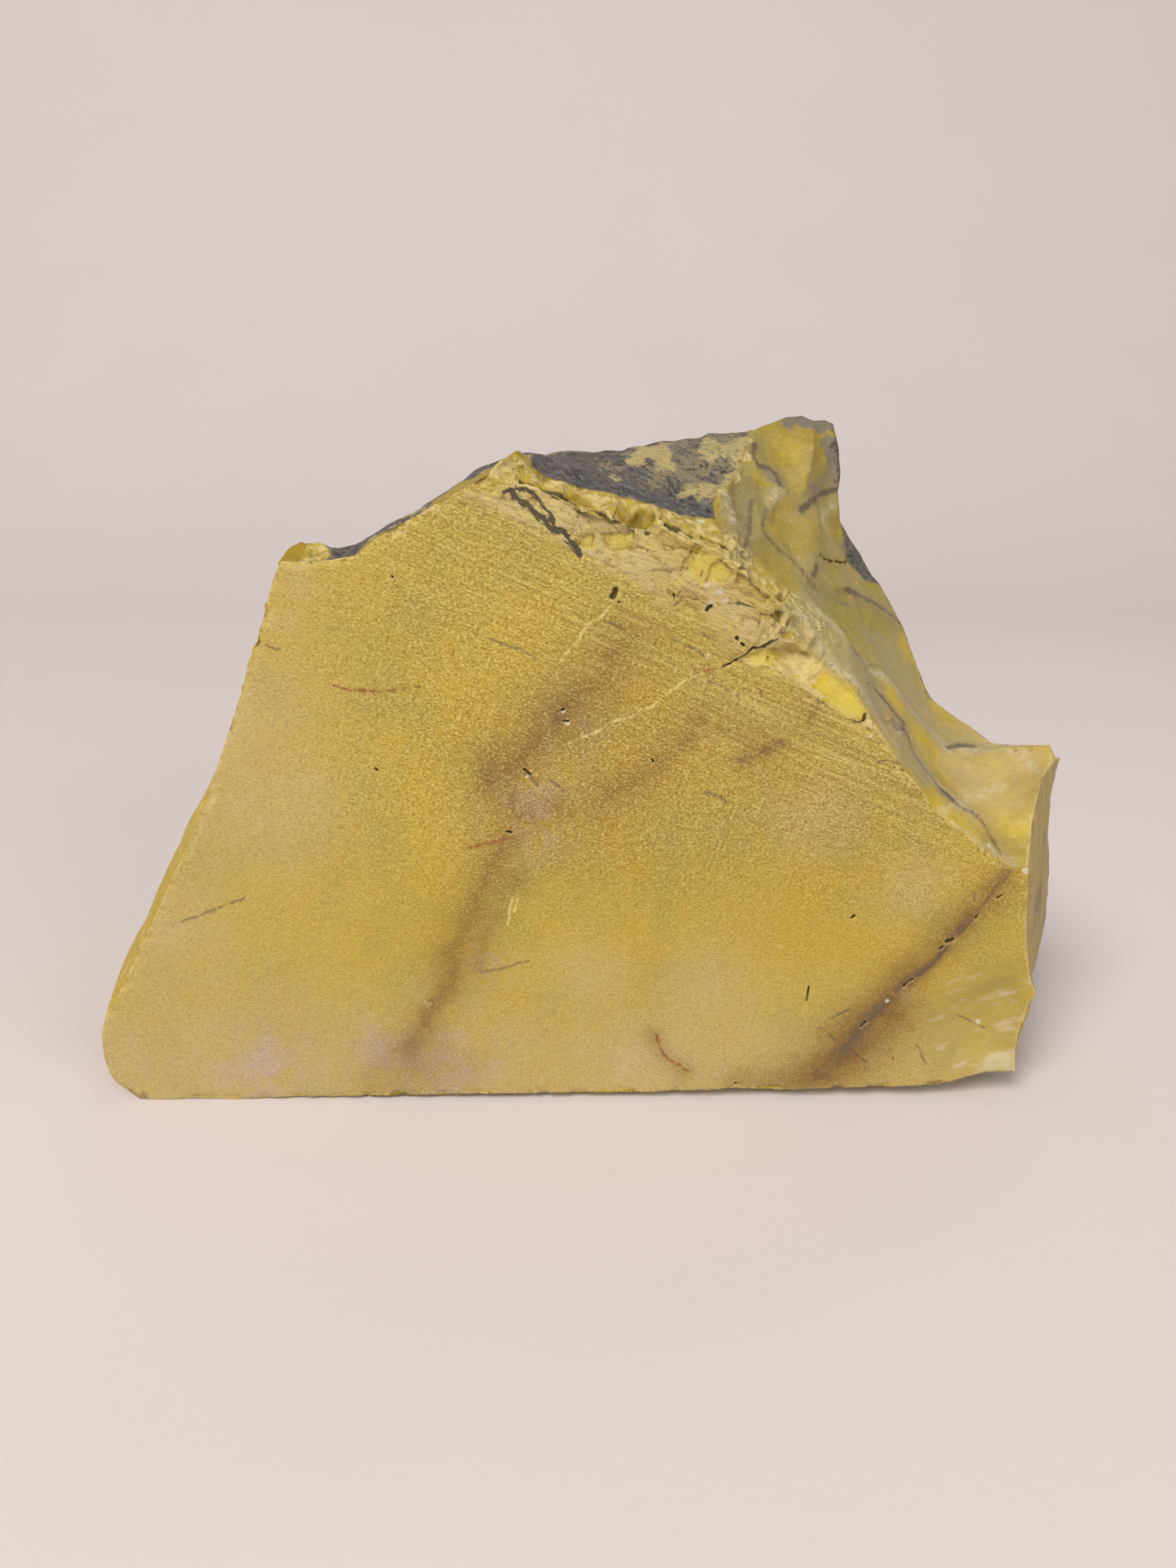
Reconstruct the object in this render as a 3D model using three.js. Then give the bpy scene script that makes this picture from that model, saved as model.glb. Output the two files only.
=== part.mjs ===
// A rough piece of mookaite, a yellow jasper-like stone, as one closed faceted solid.
// Millimetres, +Z up. The large sawn face looks along -Y and the stone rests on its sawn sole at Z = 0.
// The surface is a net of named ridge lines. Each line is the border between two faces, and a face is
// flat where it was sawn, hollowed where a flake broke away, or lumpy where it is the natural rind.
import * as THREE from 'three';

// Driving dimensions
const OVERALL_DEPTH = 46;       // front face to the furthest point of the back
const SAWN_STEP = 16;           // longest triangle edge on the sawn faces
const BROKEN_STEP = 2.6;        // the same on broken faces
const RIND_STEP = 4.2;          // the same on the natural rind
const SIDE_STEP = 3.6;          // the same on the two broken sides
const BACK_STEP = 5.6;          // the same on the back
const RIND_LUMP = 1.1;          // height of the lumps on the rind
const SIDE_LUMP = 0.55;         // height of the lumps on the sides
const BACK_LUMP = 3.3;          // height of the lumps on the back
const LUMP_LENGTH = 21;         // distance from lump to lump
const WAVE_SHIFT = 1.7;         // radians from the start of one wave of lumps to the next
const RELAX_PASSES = 40;        // how often the points inside a face are evened out
const WEATHER_PASSES = 2;       // the same where the weather has rounded the ridges
const SWAP_GAIN = 0.01;         // radians by which a new diagonal must be better than the old
const STONE_COLOUR = 0xbfa042;

// Corners where three or more ridges meet. Y = 0 is the sawn front face.
const corner = {
  footLeft: [-51.7, 0, 0],
  footRight: [48.9, 0, 3.6],
  earTip: [46.6, 0, 29.2],
  notch: [18.8, 0, 57.4],
  browStart: [-9.3, 0, 69.5],
  chipRight: [-25.2, 0, 61.5],
  chipLeft: [-29.5, 0, 61.5],
  chipBack: [-28.8, 5, 62.7],
  apex: [-6.8, 2.6, 71.6],
  browOne: [-2.5, 0, 67.3],
  browTwo: [2.4, 0, 65.3],
  browThree: [5.8, 0, 64.3],
  browFour: [12.5, 0, 62.4],
  browFive: [15.3, 0, 60.1],
  rimOne: [-2.6, 4.2, 68.6],
  rimTwo: [3.2, 6, 67],
  rimThree: [6.4, 7, 66.2],
  rimEnd: [13.3, 9.5, 64.3],
  wallTop: [15.1, 15.5, 67],
  hornLeft: [19.1, 28, 72.7],
  hornMid: [26.8, 30.5, 73.5],
  hornRight: [29.2, 31, 73.2],
  hornFoot: [31.3, 28, 59.1],
  crackStart: [14.6, 0, 51.8],
  stepEnd: [22.9, 2.5, 51.3],
  lintelLeft: [17.8, 0, 53.9],
  lintelRight: [20.8, 1.2, 53.2],
  pocketEnd: [29.3, 0, 44.4],
  pass: [23.1, 12, 57.5],
  veinFork: [30.9, 13, 48.3],
  waist: [30.4, 8, 46.8],
  earLeft: [39.8, 14.5, 39.4],
  earHinge: [35.5, 6.5, 39.8],
  earBack: [48.2, 18, 37.4],
  earCorner: [52, 10, 37.9],
  sideTop: [54.2, 13, 37.2],
  slopeTop: [30.8, 26, 57.5],
  slopeSide: [38.3, 29, 50.7],
  spurStart: [26, 17, 59.5],
  arcStart: [18.4, 19, 68.1],
  arcEnd: [24, 20, 64.2],
  midKnot: [21.6, 20, 66.7],
  ribKnot: [18.6, 12, 63],
  rindSpot: [36.4, 30, 54.3],
  soleRight: [48.5, 8, 0],
  sideFoot: [53.5, 14.5, 0],
  leftFoot: [-56.6, 7, 0],
  shoulderLeft: [-31.5, 16, 53],
  shoulderOne: [-22, 27, 57],
  shoulderTwo: [4, 36, 62.5],
  shoulderThree: [28, 40, 58],
  shoulderRight: [37.5, 37, 49],
  waistLeft: [-45, 20, 26],
  waistOne: [-33, 37, 31],
  waistTwo: [3, OVERALL_DEPTH - 1, 37],
  waistThree: [38, 42, 31],
  waistRight: [54, 20, 26],
  backOne: [-40, 35, 0],
  backTwo: [-2, 44.5, 0],
  backThree: [35, 40, 0],
};

// Ridge lines: the two corners that each runs between, and the bends on its way.
const ridge = {
  foot: ['footLeft', 'footRight', [-28, 0, 0.5], [-2, 0, 1], [25, 0, 1.5], [40, 0, 2], [43, 0, 2.9],
    [46, 0, 3.7]],
  rightEdge: ['footRight', 'earTip', [48.6, 0, 8], [49, 0, 12.3], [49.8, 0, 13.9], [48.7, 0, 16.2],
    [47.8, 0, 20.2], [47.2, 0, 25]],
  lip: ['pocketEnd', 'earTip', [30.6, 0, 42.9], [32.2, 0, 40.5], [34.1, 0, 38.6], [36.2, 0, 35.6],
    [39.7, 0, 33.1], [43, 0, 30.4], [44.7, 0, 29.3]],
  topEdge: ['browStart', 'chipRight', [-12.4, 0, 67.9], [-17.2, 0, 65.3], [-20.2, 0, 63.7], [-22.2, 0, 62],
    [-24.2, 0, 61.8]],
  chipEdge: ['chipRight', 'chipLeft'],
  leftEdge: ['chipLeft', 'footLeft', [-30.5, 0, 59.8], [-31.2, 0, 57.4], [-34, 0, 50.3], [-38.9, 0, 38.6],
    [-42.6, 0, 31.2], [-46.8, 0, 23.4], [-51.9, 0, 14.1], [-54.7, 0, 9.7], [-55.2, 0, 5.7], [-54.4, 0, 2.2]],
  chipRise: ['chipLeft', 'chipBack', [-29.6, 3, 62.2]],
  chipFall: ['chipRight', 'chipBack', [-25, 2, 61.7], [-26.4, 5.2, 62.5]],

  browA: ['browStart', 'browOne', [-7.7, 0, 68.8], [-5.7, 0, 68.5]],
  browB: ['browOne', 'browTwo', [-0.5, 0, 66.4], [1.2, 0, 65.7]],
  browC: ['browTwo', 'browThree', [4.2, 0, 64.7]],
  browD: ['browThree', 'browFour', [6.3, 0, 64.8], [8.3, 0, 64.5], [10.5, 0, 63.3]],
  browE: ['browFour', 'browFive', [13.1, 0, 61.5], [13.9, 0, 61.5]],
  browF: ['browFive', 'notch', [17.2, 0, 58.4]],
  peak: ['browStart', 'apex', [-8.3, 1.2, 70.6]],
  rimA: ['apex', 'rimOne', [-5.5, 3.5, 69.6], [-4.3, 4, 68.8]],
  rimB: ['rimOne', 'rimTwo', [-1.3, 4.5, 67.9], [0.8, 5.2, 67.7]],
  rimC: ['rimTwo', 'rimThree'],
  rimD: ['rimThree', 'rimEnd', [8.9, 8, 65.3], [10.6, 8.5, 64.7], [12.2, 9, 64.7]],
  scoopOne: ['browOne', 'rimOne', [-2.4, 2.6, 68]],
  scoopTwo: ['browTwo', 'rimTwo', [2.7, 2.4, 66.6]],
  scoopThree: ['browThree', 'rimThree', [6.6, 3, 65.6]],
  scoopFour: ['browFour', 'rimEnd', [13.2, 3.5, 62.3], [13.6, 7, 62.9]],

  skyLeft: ['chipBack', 'apex', [-24.4, 8, 62.9], [-17.5, 7.5, 65.9], [-13.3, 6.2, 68.6], [-10.3, 5, 70.4]],
  skyline: ['apex', 'hornLeft', [-5.6, 8, 72.1], [-4, 13, 71.7], [-1.4, 18, 71.5], [2.2, 23, 71.6],
    [7.3, 26, 72.3], [12.1, 28, 72.7], [15.1, 29, 73.1]],
  fold: ['apex', 'rimEnd', [-4.7, 9, 70.9], [-2, 11.5, 70.2], [1.6, 13.5, 69.6], [5, 14, 68.7],
    [8.5, 13.5, 67.2], [11, 12, 65.6]],
  seamLow: ['rimEnd', 'wallTop', [13.3, 12, 65.7], [13.8, 14, 67.1]],
  seamHigh: ['wallTop', 'hornLeft', [16.1, 18, 67.9], [17.3, 21, 69.6], [18.3, 24, 71.1]],

  wall: ['wallTop', 'browFour', [15.4, 12.5, 65], [15.6, 10, 63.4], [14.8, 4.5, 61.7]],
  hornVeinTop: ['hornLeft', 'arcStart', [18.9, 24, 71]],
  hornVeinMid: ['arcStart', 'ribKnot', [17.9, 15, 65.4]],
  hornVeinLow: ['ribKnot', 'browFive', [16.9, 10, 62.3], [16, 7, 60.9]],
  arc: ['arcStart', 'midKnot', [20.2, 22.5, 68.9], [21.1, 22, 68.3]],
  arcTail: ['midKnot', 'arcEnd'],
  hornRidgeTop: ['hornMid', 'arcEnd', [26, 26, 69.8], [24.9, 23, 67.1]],
  hornRidgeLow: ['arcEnd', 'pass', [23.6, 16.5, 61.7], [23.4, 13.8, 59.1]],
  midRidge: ['midKnot', 'ribKnot', [19.9, 17, 64.8], [19.3, 14.5, 63.7]],
  rib: ['ribKnot', 'pass', [21.2, 14, 61.2], [22.5, 13.3, 59.4]],
  spurSide: ['arcEnd', 'spurStart', [26.6, 23, 64.3], [26.3, 20, 62.2]],
  spurFoot: ['spurStart', 'pass', [24.6, 14, 58.5]],
  crownA: ['hornLeft', 'hornMid', [21.3, 29, 73.2], [23, 30, 73.8], [25.4, 31, 74.1]],
  crownB: ['hornMid', 'hornRight', [28.2, 31, 73.6]],
  flank: ['hornRight', 'hornFoot', [29.9, 30.5, 70.5], [30.3, 30, 67.9], [30.1, 29.5, 65.5],
    [30.5, 29, 62.1]],
  hornCrack: ['spurStart', 'slopeTop', [28.6, 22, 58.4]],
  spotSide: ['slopeTop', 'hornFoot'],
  void: ['notch', 'pass', [20.4, 5, 56.6], [21.5, 9, 57.2]],

  crackTopA: ['notch', 'lintelLeft', [18, 0, 55.6]],
  crackTopB: ['lintelLeft', 'crackStart', [16.5, 0, 52.8]],
  lintel: ['lintelLeft', 'lintelRight'],
  crackLow: ['crackStart', 'pocketEnd', [16.9, 0, 51.1], [18.6, 0, 51.2], [19.8, 0, 50], [21.3, 0, 48.9],
    [22.8, 0, 48.2], [24.1, 0, 47.2], [26, 0, 46], [27.7, 0, 45.3]],
  undercut: ['crackStart', 'stepEnd', [17.6, 0.8, 52.7], [18.9, 2, 52.4], [21.6, 2.9, 52.1]],
  bulgeEdgeA: ['notch', 'lintelRight', [19.6, 0.8, 56.4], [19.9, 1.2, 54.8]],
  bulgeEdgeB: ['lintelRight', 'stepEnd', [22, 2, 52.3]],
  flapEdge: ['stepEnd', 'pocketEnd', [24.2, 2.5, 50.2], [26.9, 2, 48.4], [28.2, 1.3, 46.5]],

  veinHigh: ['pass', 'veinFork', [24.3, 12.8, 55.8], [25.3, 13, 54.3], [26.7, 13, 52.5], [29.1, 13, 50.1]],
  veinLow: ['veinFork', 'earLeft', [33, 14.5, 47.3], [33.5, 13.7, 45.9], [35.3, 13.5, 43.9],
    [37.6, 14, 41.5]],
  veinEnd: ['earLeft', 'earBack', [42.8, 15.5, 37.9], [45.2, 16.5, 37.5]],
  darkHigh: ['veinFork', 'waist', [30.7, 10.5, 47.5]],
  darkMid: ['waist', 'earHinge', [33.3, 8, 43.7], [34.6, 7.5, 41.8]],
  darkLow: ['earHinge', 'earTip', [37.2, 5, 37.7], [39.5, 4.5, 35.8], [42, 4, 34.1], [43.4, 3.5, 32.4],
    [44.5, 1.5, 30.2]],
  waistCross: ['pocketEnd', 'waist', [30.4, 4.5, 45.6]],
  earCross: ['earLeft', 'earHinge', [37.6, 10.5, 39.3]],
  earEdge: ['earTip', 'earCorner', [46.9, 1, 30.4], [48, 3.5, 34.1], [49.8, 7, 36.9]],
  earTop: ['earCorner', 'earBack', [52.4, 12, 39.1], [49.6, 14.5, 38.3]],
  earSide: ['earCorner', 'sideTop'],
  slopeVein: ['pass', 'slopeSide', [25.6, 14.5, 57], [30.2, 20, 55.6], [33.8, 24, 53.3]],
  rearHigh: ['slopeTop', 'rindSpot', [32.6, 27.5, 56.3], [34.1, 28.5, 55]],
  rearMid: ['rindSpot', 'slopeSide'],
  rearLow: ['slopeSide', 'earBack', [40.2, 27, 46.5], [41.1, 26, 44.1], [42.1, 24.5, 41.3], [44.8, 23, 39.4],
    [46.8, 21.5, 38.2]],
  spotTop: ['hornFoot', 'rindSpot', [33.7, 33, 58.6], [35.9, 34, 57.8], [37.5, 33, 56.3]],

  sole: ['footLeft', 'soleRight', [-28, 1.2, 0], [-2, 2.2, 0], [24, 3.2, 0], [40, 5, 0]],
  soleCorner: ['footRight', 'soleRight', [49.3, 4, 1.2]],
  soleSide: ['soleRight', 'sideFoot'],
  side: ['sideTop', 'sideFoot', [55, 13.5, 30.2], [55.9, 14, 20.4], [56.5, 14.5, 11.8], [55.5, 14.5, 4]],
  footCorner: ['footLeft', 'leftFoot', [-54, 3, 0]],
  leftSide: ['chipBack', 'leftFoot', [-31.2, 8, 57.5], [-34.2, 9, 51.8], [-39.2, 9, 40], [-43, 9, 34.5],
    [-45.9, 9, 30.6], [-49.7, 9, 24.1], [-54.9, 9, 14.8], [-57.6, 8.5, 9.5], [-59, 8, 4.5]],

  shoulderFall: ['chipBack', 'shoulderLeft'],
  shoulderA: ['shoulderLeft', 'shoulderOne', [-27.5, 22, 55.3]],
  shoulderB: ['shoulderOne', 'shoulderTwo', [-10, 33, 60.3]],
  shoulderC: ['shoulderTwo', 'shoulderThree', [16, 39, 62]],
  shoulderD: ['shoulderThree', 'shoulderRight', [33, 40, 54]],
  hornBack: ['hornRight', 'shoulderThree', [29.5, 36, 66.5]],
  spotBack: ['rindSpot', 'shoulderRight'],
  ribLeft: ['shoulderLeft', 'waistLeft', [-37, 18.5, 40]],
  ribOne: ['shoulderOne', 'waistOne', [-28, 33, 45]],
  ribTwo: ['shoulderTwo', 'waistTwo', [4, 43, 51]],
  ribThree: ['shoulderRight', 'waistThree', [39.2, 38.6, 44], [36.8, 42, 39], [39, 42, 35]],
  waistA: ['waistLeft', 'waistOne', [-43.5, 26, 29.5], [-38.5, 32.5, 28]],
  waistB: ['waistOne', 'waistTwo', [-16, 43, 35]],
  waistC: ['waistTwo', 'waistThree', [22, OVERALL_DEPTH, 35]],
  waistD: ['waistThree', 'waistRight', [43, 39, 31.5], [48.5, 34, 27], [52, 27.5, 27.5]],
  sideRise: ['sideTop', 'waistRight', [54, 16.5, 32]],
  leftLow: ['waistLeft', 'leftFoot', [-51.5, 14.5, 12]],
  rightLow: ['waistRight', 'sideFoot', [54.6, 18, 12]],
  lowOne: ['waistOne', 'backOne', [-33.5, 38.5, 24], [-38.5, 37.5, 14], [-37.5, 37.5, 6]],
  lowTwo: ['waistTwo', 'backTwo', [0, OVERALL_DEPTH, 18]],
  lowThree: ['waistThree', 'backThree', [38.5, 42.5, 15]],
  footA: ['leftFoot', 'backOne', [-54, 17, 0], [-49, 27, 0]],
  footB: ['backOne', 'backTwo', [-24, 42.5, 0]],
  footC: ['backTwo', 'backThree', [17, 44, 0]],
  footD: ['backThree', 'sideFoot', [46, 32, 0], [52, 23, 0]],
};

// Faces: a finish, the ridges in order round the face, and how far its middle is hollowed
// (negative where it swells).
const faces = [
  ['sawn', 'foot rightEdge lip crackLow crackTopB crackTopA browF browE browD browC browB browA '
    + 'topEdge chipEdge leftEdge', 0],
  ['sawn', 'sole soleSide footD footC footB footA footCorner', 0],
  ['broken', 'foot soleCorner sole', 0],

  // the ledge under the rind, scooped out by small flakes
  ['broken', 'chipEdge chipRise chipFall', 0.4],
  ['broken', 'browA scoopOne rimA peak', 0.5],
  ['broken', 'browB scoopTwo rimB scoopOne', 0.9],
  ['broken', 'browC scoopThree rimC scoopTwo', 1.2],
  ['broken', 'browD scoopFour rimD scoopThree', 0.5],

  // the rind on the top
  ['rind', 'topEdge chipFall skyLeft peak', -0.3],
  ['rind', 'rimA rimB rimC rimD fold', -0.3],
  ['rind', 'fold seamLow seamHigh skyline', 0.2],
  ['rind', 'spotSide spotTop rearHigh', 0],

  // the horn
  ['broken', 'scoopFour seamLow wall', 0.3],
  ['broken', 'seamHigh hornVeinTop hornVeinMid hornVeinLow browE wall', 0.7],
  ['broken', 'crownA hornRidgeTop arcTail arc hornVeinTop', 1],
  ['broken', 'arc midRidge hornVeinMid', 0.3],
  ['broken', 'midRidge rib hornRidgeLow arcTail', 0.8],
  ['broken', 'hornVeinLow browF void rib', 1],
  ['broken', 'hornRidgeLow spurFoot spurSide', -0.4],
  ['broken', 'hornRidgeTop spurSide hornCrack spotSide flank crownB', 0.9],

  // the pocket, the grey bulge and the slope down to the ear
  ['broken', 'crackTopA lintel bulgeEdgeA', 0.2],
  ['broken', 'crackTopB undercut bulgeEdgeB lintel', 0],
  ['broken', 'crackLow flapEdge undercut', 0.3],
  ['broken', 'bulgeEdgeA bulgeEdgeB flapEdge waistCross darkHigh veinHigh void', -1.3],
  ['broken', 'lip darkLow darkMid waistCross', 0.3],
  ['broken', 'darkHigh darkMid earCross veinLow', 0.5],
  ['broken', 'darkLow earEdge earTop veinEnd earCross', 2],
  ['broken', 'spurFoot slopeVein rearMid rearHigh hornCrack', 0.3],
  ['broken', 'veinHigh veinLow veinEnd rearLow slopeVein', 0.9],

  // the sides and the back
  ['side', 'rightEdge earEdge earSide side soleSide soleCorner', -0.4],
  ['side', 'leftEdge footCorner leftSide chipRise', -0.3],
  ['back', 'side rightLow sideRise', 0],
  ['side', 'leftSide leftLow ribLeft shoulderFall', 0],
  ['broken', 'spotBack ribThree waistD sideRise earSide earTop rearLow rearMid', 1.2],
  ['back', 'flank spotTop spotBack shoulderD hornBack', -0.5],
  ['back', 'skyLeft skyline crownA crownB hornBack shoulderC shoulderB shoulderA shoulderFall', -0.5],
  ['back', 'shoulderA ribOne waistA ribLeft', -1],
  ['back', 'shoulderB ribTwo waistB ribOne', -1.2],
  ['back', 'shoulderC shoulderD ribThree waistC ribTwo', -1.5],
  ['broken', 'waistA lowOne footA leftLow', 1.4],
  ['back', 'waistB lowTwo footB lowOne', -1],
  ['back', 'waistC lowThree footC lowTwo', -1],
  ['back', 'waistD rightLow footD lowThree', -1],
];

// The net: shared points, and one loop of point numbers round each face.
const points = [];
const pointAt = new Map();

function pointNumber(place) {
  const key = place.join();
  if (!pointAt.has(key)) {
    pointAt.set(key, points.length);
    points.push(new THREE.Vector3(...place));
  }
  return pointAt.get(key);
}

const line = {};
for (const [name, [start, end, ...bends]] of Object.entries(ridge)) {
  line[name] = [corner[start], ...bends, corner[end]].map(pointNumber);
}

function walkRound(names) {
  const lines = names.split(' ').map((name) => [...line[name]]);
  const second = lines[1];
  if (!second.includes(lines[0].at(-1))) lines[0].reverse();
  const loop = [];
  for (const run of lines) {
    if (loop.length && run[0] !== loop.at(-1)) run.reverse();
    loop.pop();
    loop.push(...run);
  }
  loop.pop();
  return loop;
}

// Newell's normal of a loop that need not be flat
function loopNormal(loop) {
  const normal = new THREE.Vector3();
  for (let i = 0; i < loop.length; i++) {
    const a = points[loop[i]];
    const b = points[loop[(i + 1) % loop.length]];
    normal.x += (a.y - b.y) * (a.z + b.z);
    normal.y += (a.z - b.z) * (a.x + b.x);
    normal.z += (a.x - b.x) * (a.y + b.y);
  }
  return normal.normalize();
}

const edgeKey = (a, b) => Math.min(a, b) + '-' + Math.max(a, b);

// Turn the loops so that neighbours run opposite ways along the ridge that they share.
function turnTogether(patches) {
  const waiting = [patches[0]];
  const settled = new Set(waiting);
  while (waiting.length) {
    const known = waiting.pop();
    const runs = new Set(known.loop.map((a, i) => a + '>' + known.loop[(i + 1) % known.loop.length]));
    for (const other of patches) {
      if (settled.has(other)) continue;
      const steps = other.loop.map((a, i) => [a, other.loop[(i + 1) % other.loop.length]]);
      const same = steps.some(([a, b]) => runs.has(a + '>' + b));
      const against = steps.some(([a, b]) => runs.has(b + '>' + a));
      if (!same && !against) continue;
      if (same) other.loop.reverse();
      settled.add(other);
      waiting.push(other);
    }
  }
}

const patches = faces.map(([finish, names, hollow]) => ({ finish, hollow, loop: walkRound(names) }));
if (loopNormal(patches[0].loop).y > 0) patches[0].loop.reverse();
turnTogether(patches);

// First triangles: each loop is filled in its own mean plane.
let triangles = [];
patches.forEach((patch, number) => {
  patch.normal = loopNormal(patch.loop);
  const turn = new THREE.Quaternion().setFromUnitVectors(patch.normal, new THREE.Vector3(0, 0, 1));
  const flat = patch.loop.map((p) => {
    const q = points[p].clone().applyQuaternion(turn);
    return new THREE.Vector2(q.x, q.y);
  });
  for (const [a, b, c] of THREE.ShapeUtils.triangulateShape(flat, [])) {
    triangles.push({ at: [patch.loop[a], patch.loop[b], patch.loop[c]], patch: number });
  }
});

const step = { sawn: SAWN_STEP, broken: BROKEN_STEP, rind: RIND_STEP, side: SIDE_STEP, back: BACK_STEP };

const ridgeSteps = new Set();
for (const run of Object.values(line)) {
  for (let i = 1; i < run.length; i++) ridgeSteps.add(edgeKey(run[i - 1], run[i]));
}

// Every edge with the triangles on its sides. Two faces may each join the same two ridge points by an
// edge of their own, and such twins are told apart by their face.
function sharedEdges() {
  const edges = new Map();
  const uses = new Map();
  for (const triangle of triangles) {
    for (let k = 0; k < 3; k++) {
      const a = triangle.at[k];
      const b = triangle.at[(k + 1) % 3];
      const pair = edgeKey(a, b);
      const key = ridgeSteps.has(pair) ? 'ridge ' + pair : triangle.patch + ' ' + pair;
      if (!edges.has(key)) {
        edges.set(key, { a, b, pair, onRidge: ridgeSteps.has(pair), sides: [] });
        uses.set(pair, (uses.get(pair) ?? 0) + 1);
      }
      edges.get(key).sides.push(triangle);
    }
  }
  return [...edges.values()].map((edge) => ({ ...edge, twin: uses.get(edge.pair) > 1 }));
}

// Halve every edge that is longer than its faces allow, longest first, and every twin.
function splitLongEdges() {
  const length = (edge) => points[edge.a].distanceTo(points[edge.b]);
  const limit = (edge) => Math.min(...edge.sides.map((side) => step[patches[side.patch].finish]));
  const long = sharedEdges().filter((edge) => edge.twin || length(edge) > limit(edge));
  long.sort((one, two) => length(two) - length(one));
  const touched = new Set();
  const fresh = [];
  for (const { a, b, sides, onRidge } of long) {
    if (sides.some((side) => touched.has(side))) continue;
    const middle = points.push(points[a].clone().lerp(points[b], 0.5)) - 1;
    if (onRidge) ridgeSteps.add(edgeKey(a, middle)).add(edgeKey(middle, b));
    for (const side of sides) {
      touched.add(side);
      fresh.push({ at: side.at.map((p) => (p === b ? middle : p)), patch: side.patch });
      fresh.push({ at: side.at.map((p) => (p === a ? middle : p)), patch: side.patch });
    }
  }
  triangles = triangles.filter((triangle) => !touched.has(triangle)).concat(fresh);
  return fresh.length > 0;
}

function facing(a, b, c) {
  return points[b].clone().sub(points[a]).cross(points[c].clone().sub(points[a]));
}

function angleAt(tip, a, b) {
  return points[a].clone().sub(points[tip]).angleTo(points[b].clone().sub(points[tip]));
}

// Swap the diagonal of two triangles of one face where that makes both rounder.
function swapDiagonals() {
  const touched = new Set();
  const edges = sharedEdges();
  const joined = new Set(edges.map((edge) => edge.pair));
  let swaps = 0;
  for (const { a, b, sides, onRidge } of edges) {
    const [one, two] = sides;
    if (onRidge || touched.has(one) || touched.has(two)) continue;
    const c = one.at.find((p) => p !== a && p !== b);
    const d = two.at.find((p) => p !== a && p !== b);
    if (joined.has(edgeKey(c, d))) continue;
    if (angleAt(c, a, b) + angleAt(d, a, b) < Math.PI + SWAP_GAIN) continue;
    const start = one.at[(one.at.indexOf(c) + 1) % 3];
    const end = start === a ? b : a;
    const newOne = facing(c, start, d);
    const newTwo = facing(d, end, c);
    const old = facing(...one.at).add(facing(...two.at));
    if (newOne.dot(old) <= 0 || newTwo.dot(old) <= 0) continue;
    one.at = [c, start, d];
    two.at = [d, end, c];
    touched.add(one).add(two);
    joined.add(edgeKey(c, d));
    swaps += 1;
  }
  return swaps;
}

while (splitLongEdges()) swapDiagonals();
while (swapDiagonals());

// What surrounds each point: its neighbours and the faces that meet there
const around = points.map(() => ({ near: new Set(), patches: new Set() }));
for (const { at, patch } of triangles) {
  for (const p of at) {
    around[p].patches.add(patch);
    for (const q of at) if (q !== p) around[p].near.add(q);
  }
}

function relax(numbers, passes) {
  for (let pass = 0; pass < passes; pass++) {
    const moved = numbers.map((p) => {
      const sum = new THREE.Vector3();
      for (const q of around[p].near) sum.add(points[q]);
      return sum.divideScalar(around[p].near.size);
    });
    numbers.forEach((p, i) => points[p].copy(moved[i]));
  }
}

const every = points.map((_, p) => p);
const inner = every.filter((p) => around[p].patches.size === 1);
relax(inner, RELAX_PASSES);

// A dome over each face, 0 at its ridges and 1 at its highest, hollows or swells its middle.
const dome = points.map(() => 0);
for (let pass = 0; pass < RELAX_PASSES; pass++) {
  const risen = inner.map((p) => {
    const near = [...around[p].near];
    return near.reduce((sum, q) => sum + dome[q], 0) / near.length + 1;
  });
  inner.forEach((p, i) => { dome[p] = risen[i]; });
}
const top = patches.map(() => 1);
for (const p of inner) {
  const [patch] = around[p].patches;
  top[patch] = Math.max(top[patch], dome[p]);
}
for (const p of inner) {
  const [patch] = around[p].patches;
  points[p].addScaledVector(patches[patch].normal, (-patches[patch].hollow * dome[p]) / top[patch]);
}

// The rind and the back are weathered: their ridges are rounded and lumps cover them.
const lumpHeight = { sawn: 0, broken: 0, rind: RIND_LUMP, side: SIDE_LUMP, back: BACK_LUMP };

function lumpiness(p) {
  return Math.min(...[...around[p].patches].map((patch) => lumpHeight[patches[patch].finish]));
}

const weathered = every.filter((p) => lumpiness(p) > 0);
relax(weathered, WEATHER_PASSES);

// The directions of the waves that add up to the lumps, longer ones rippling faster
const swells = [[0.6, 0.3, 0.1], [-0.3, 0.7, 0.4], [0.2, -0.4, 0.8], [1.2, 0.7, -0.9], [-1, 1.3, 0.8],
  [1.7, -1.4, 1.9]];

function lumps(place) {
  const turns = (2 * Math.PI) / LUMP_LENGTH;
  const waves = swells.map(([x, y, z], i) => {
    const way = new THREE.Vector3(x, y, z);
    return Math.sin(place.dot(way) * turns + i * WAVE_SHIFT) / Math.sqrt(way.length());
  });
  return waves.reduce((sum, wave) => sum + wave, 0) / swells.length;
}

const outward = points.map(() => new THREE.Vector3());
for (const { at } of triangles) {
  for (const p of at) outward[p].add(facing(...at));
}
for (const p of weathered) {
  const height = lumpiness(p) * lumps(points[p]);
  points[p].addScaledVector(outward[p].normalize(), height);
}

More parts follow.
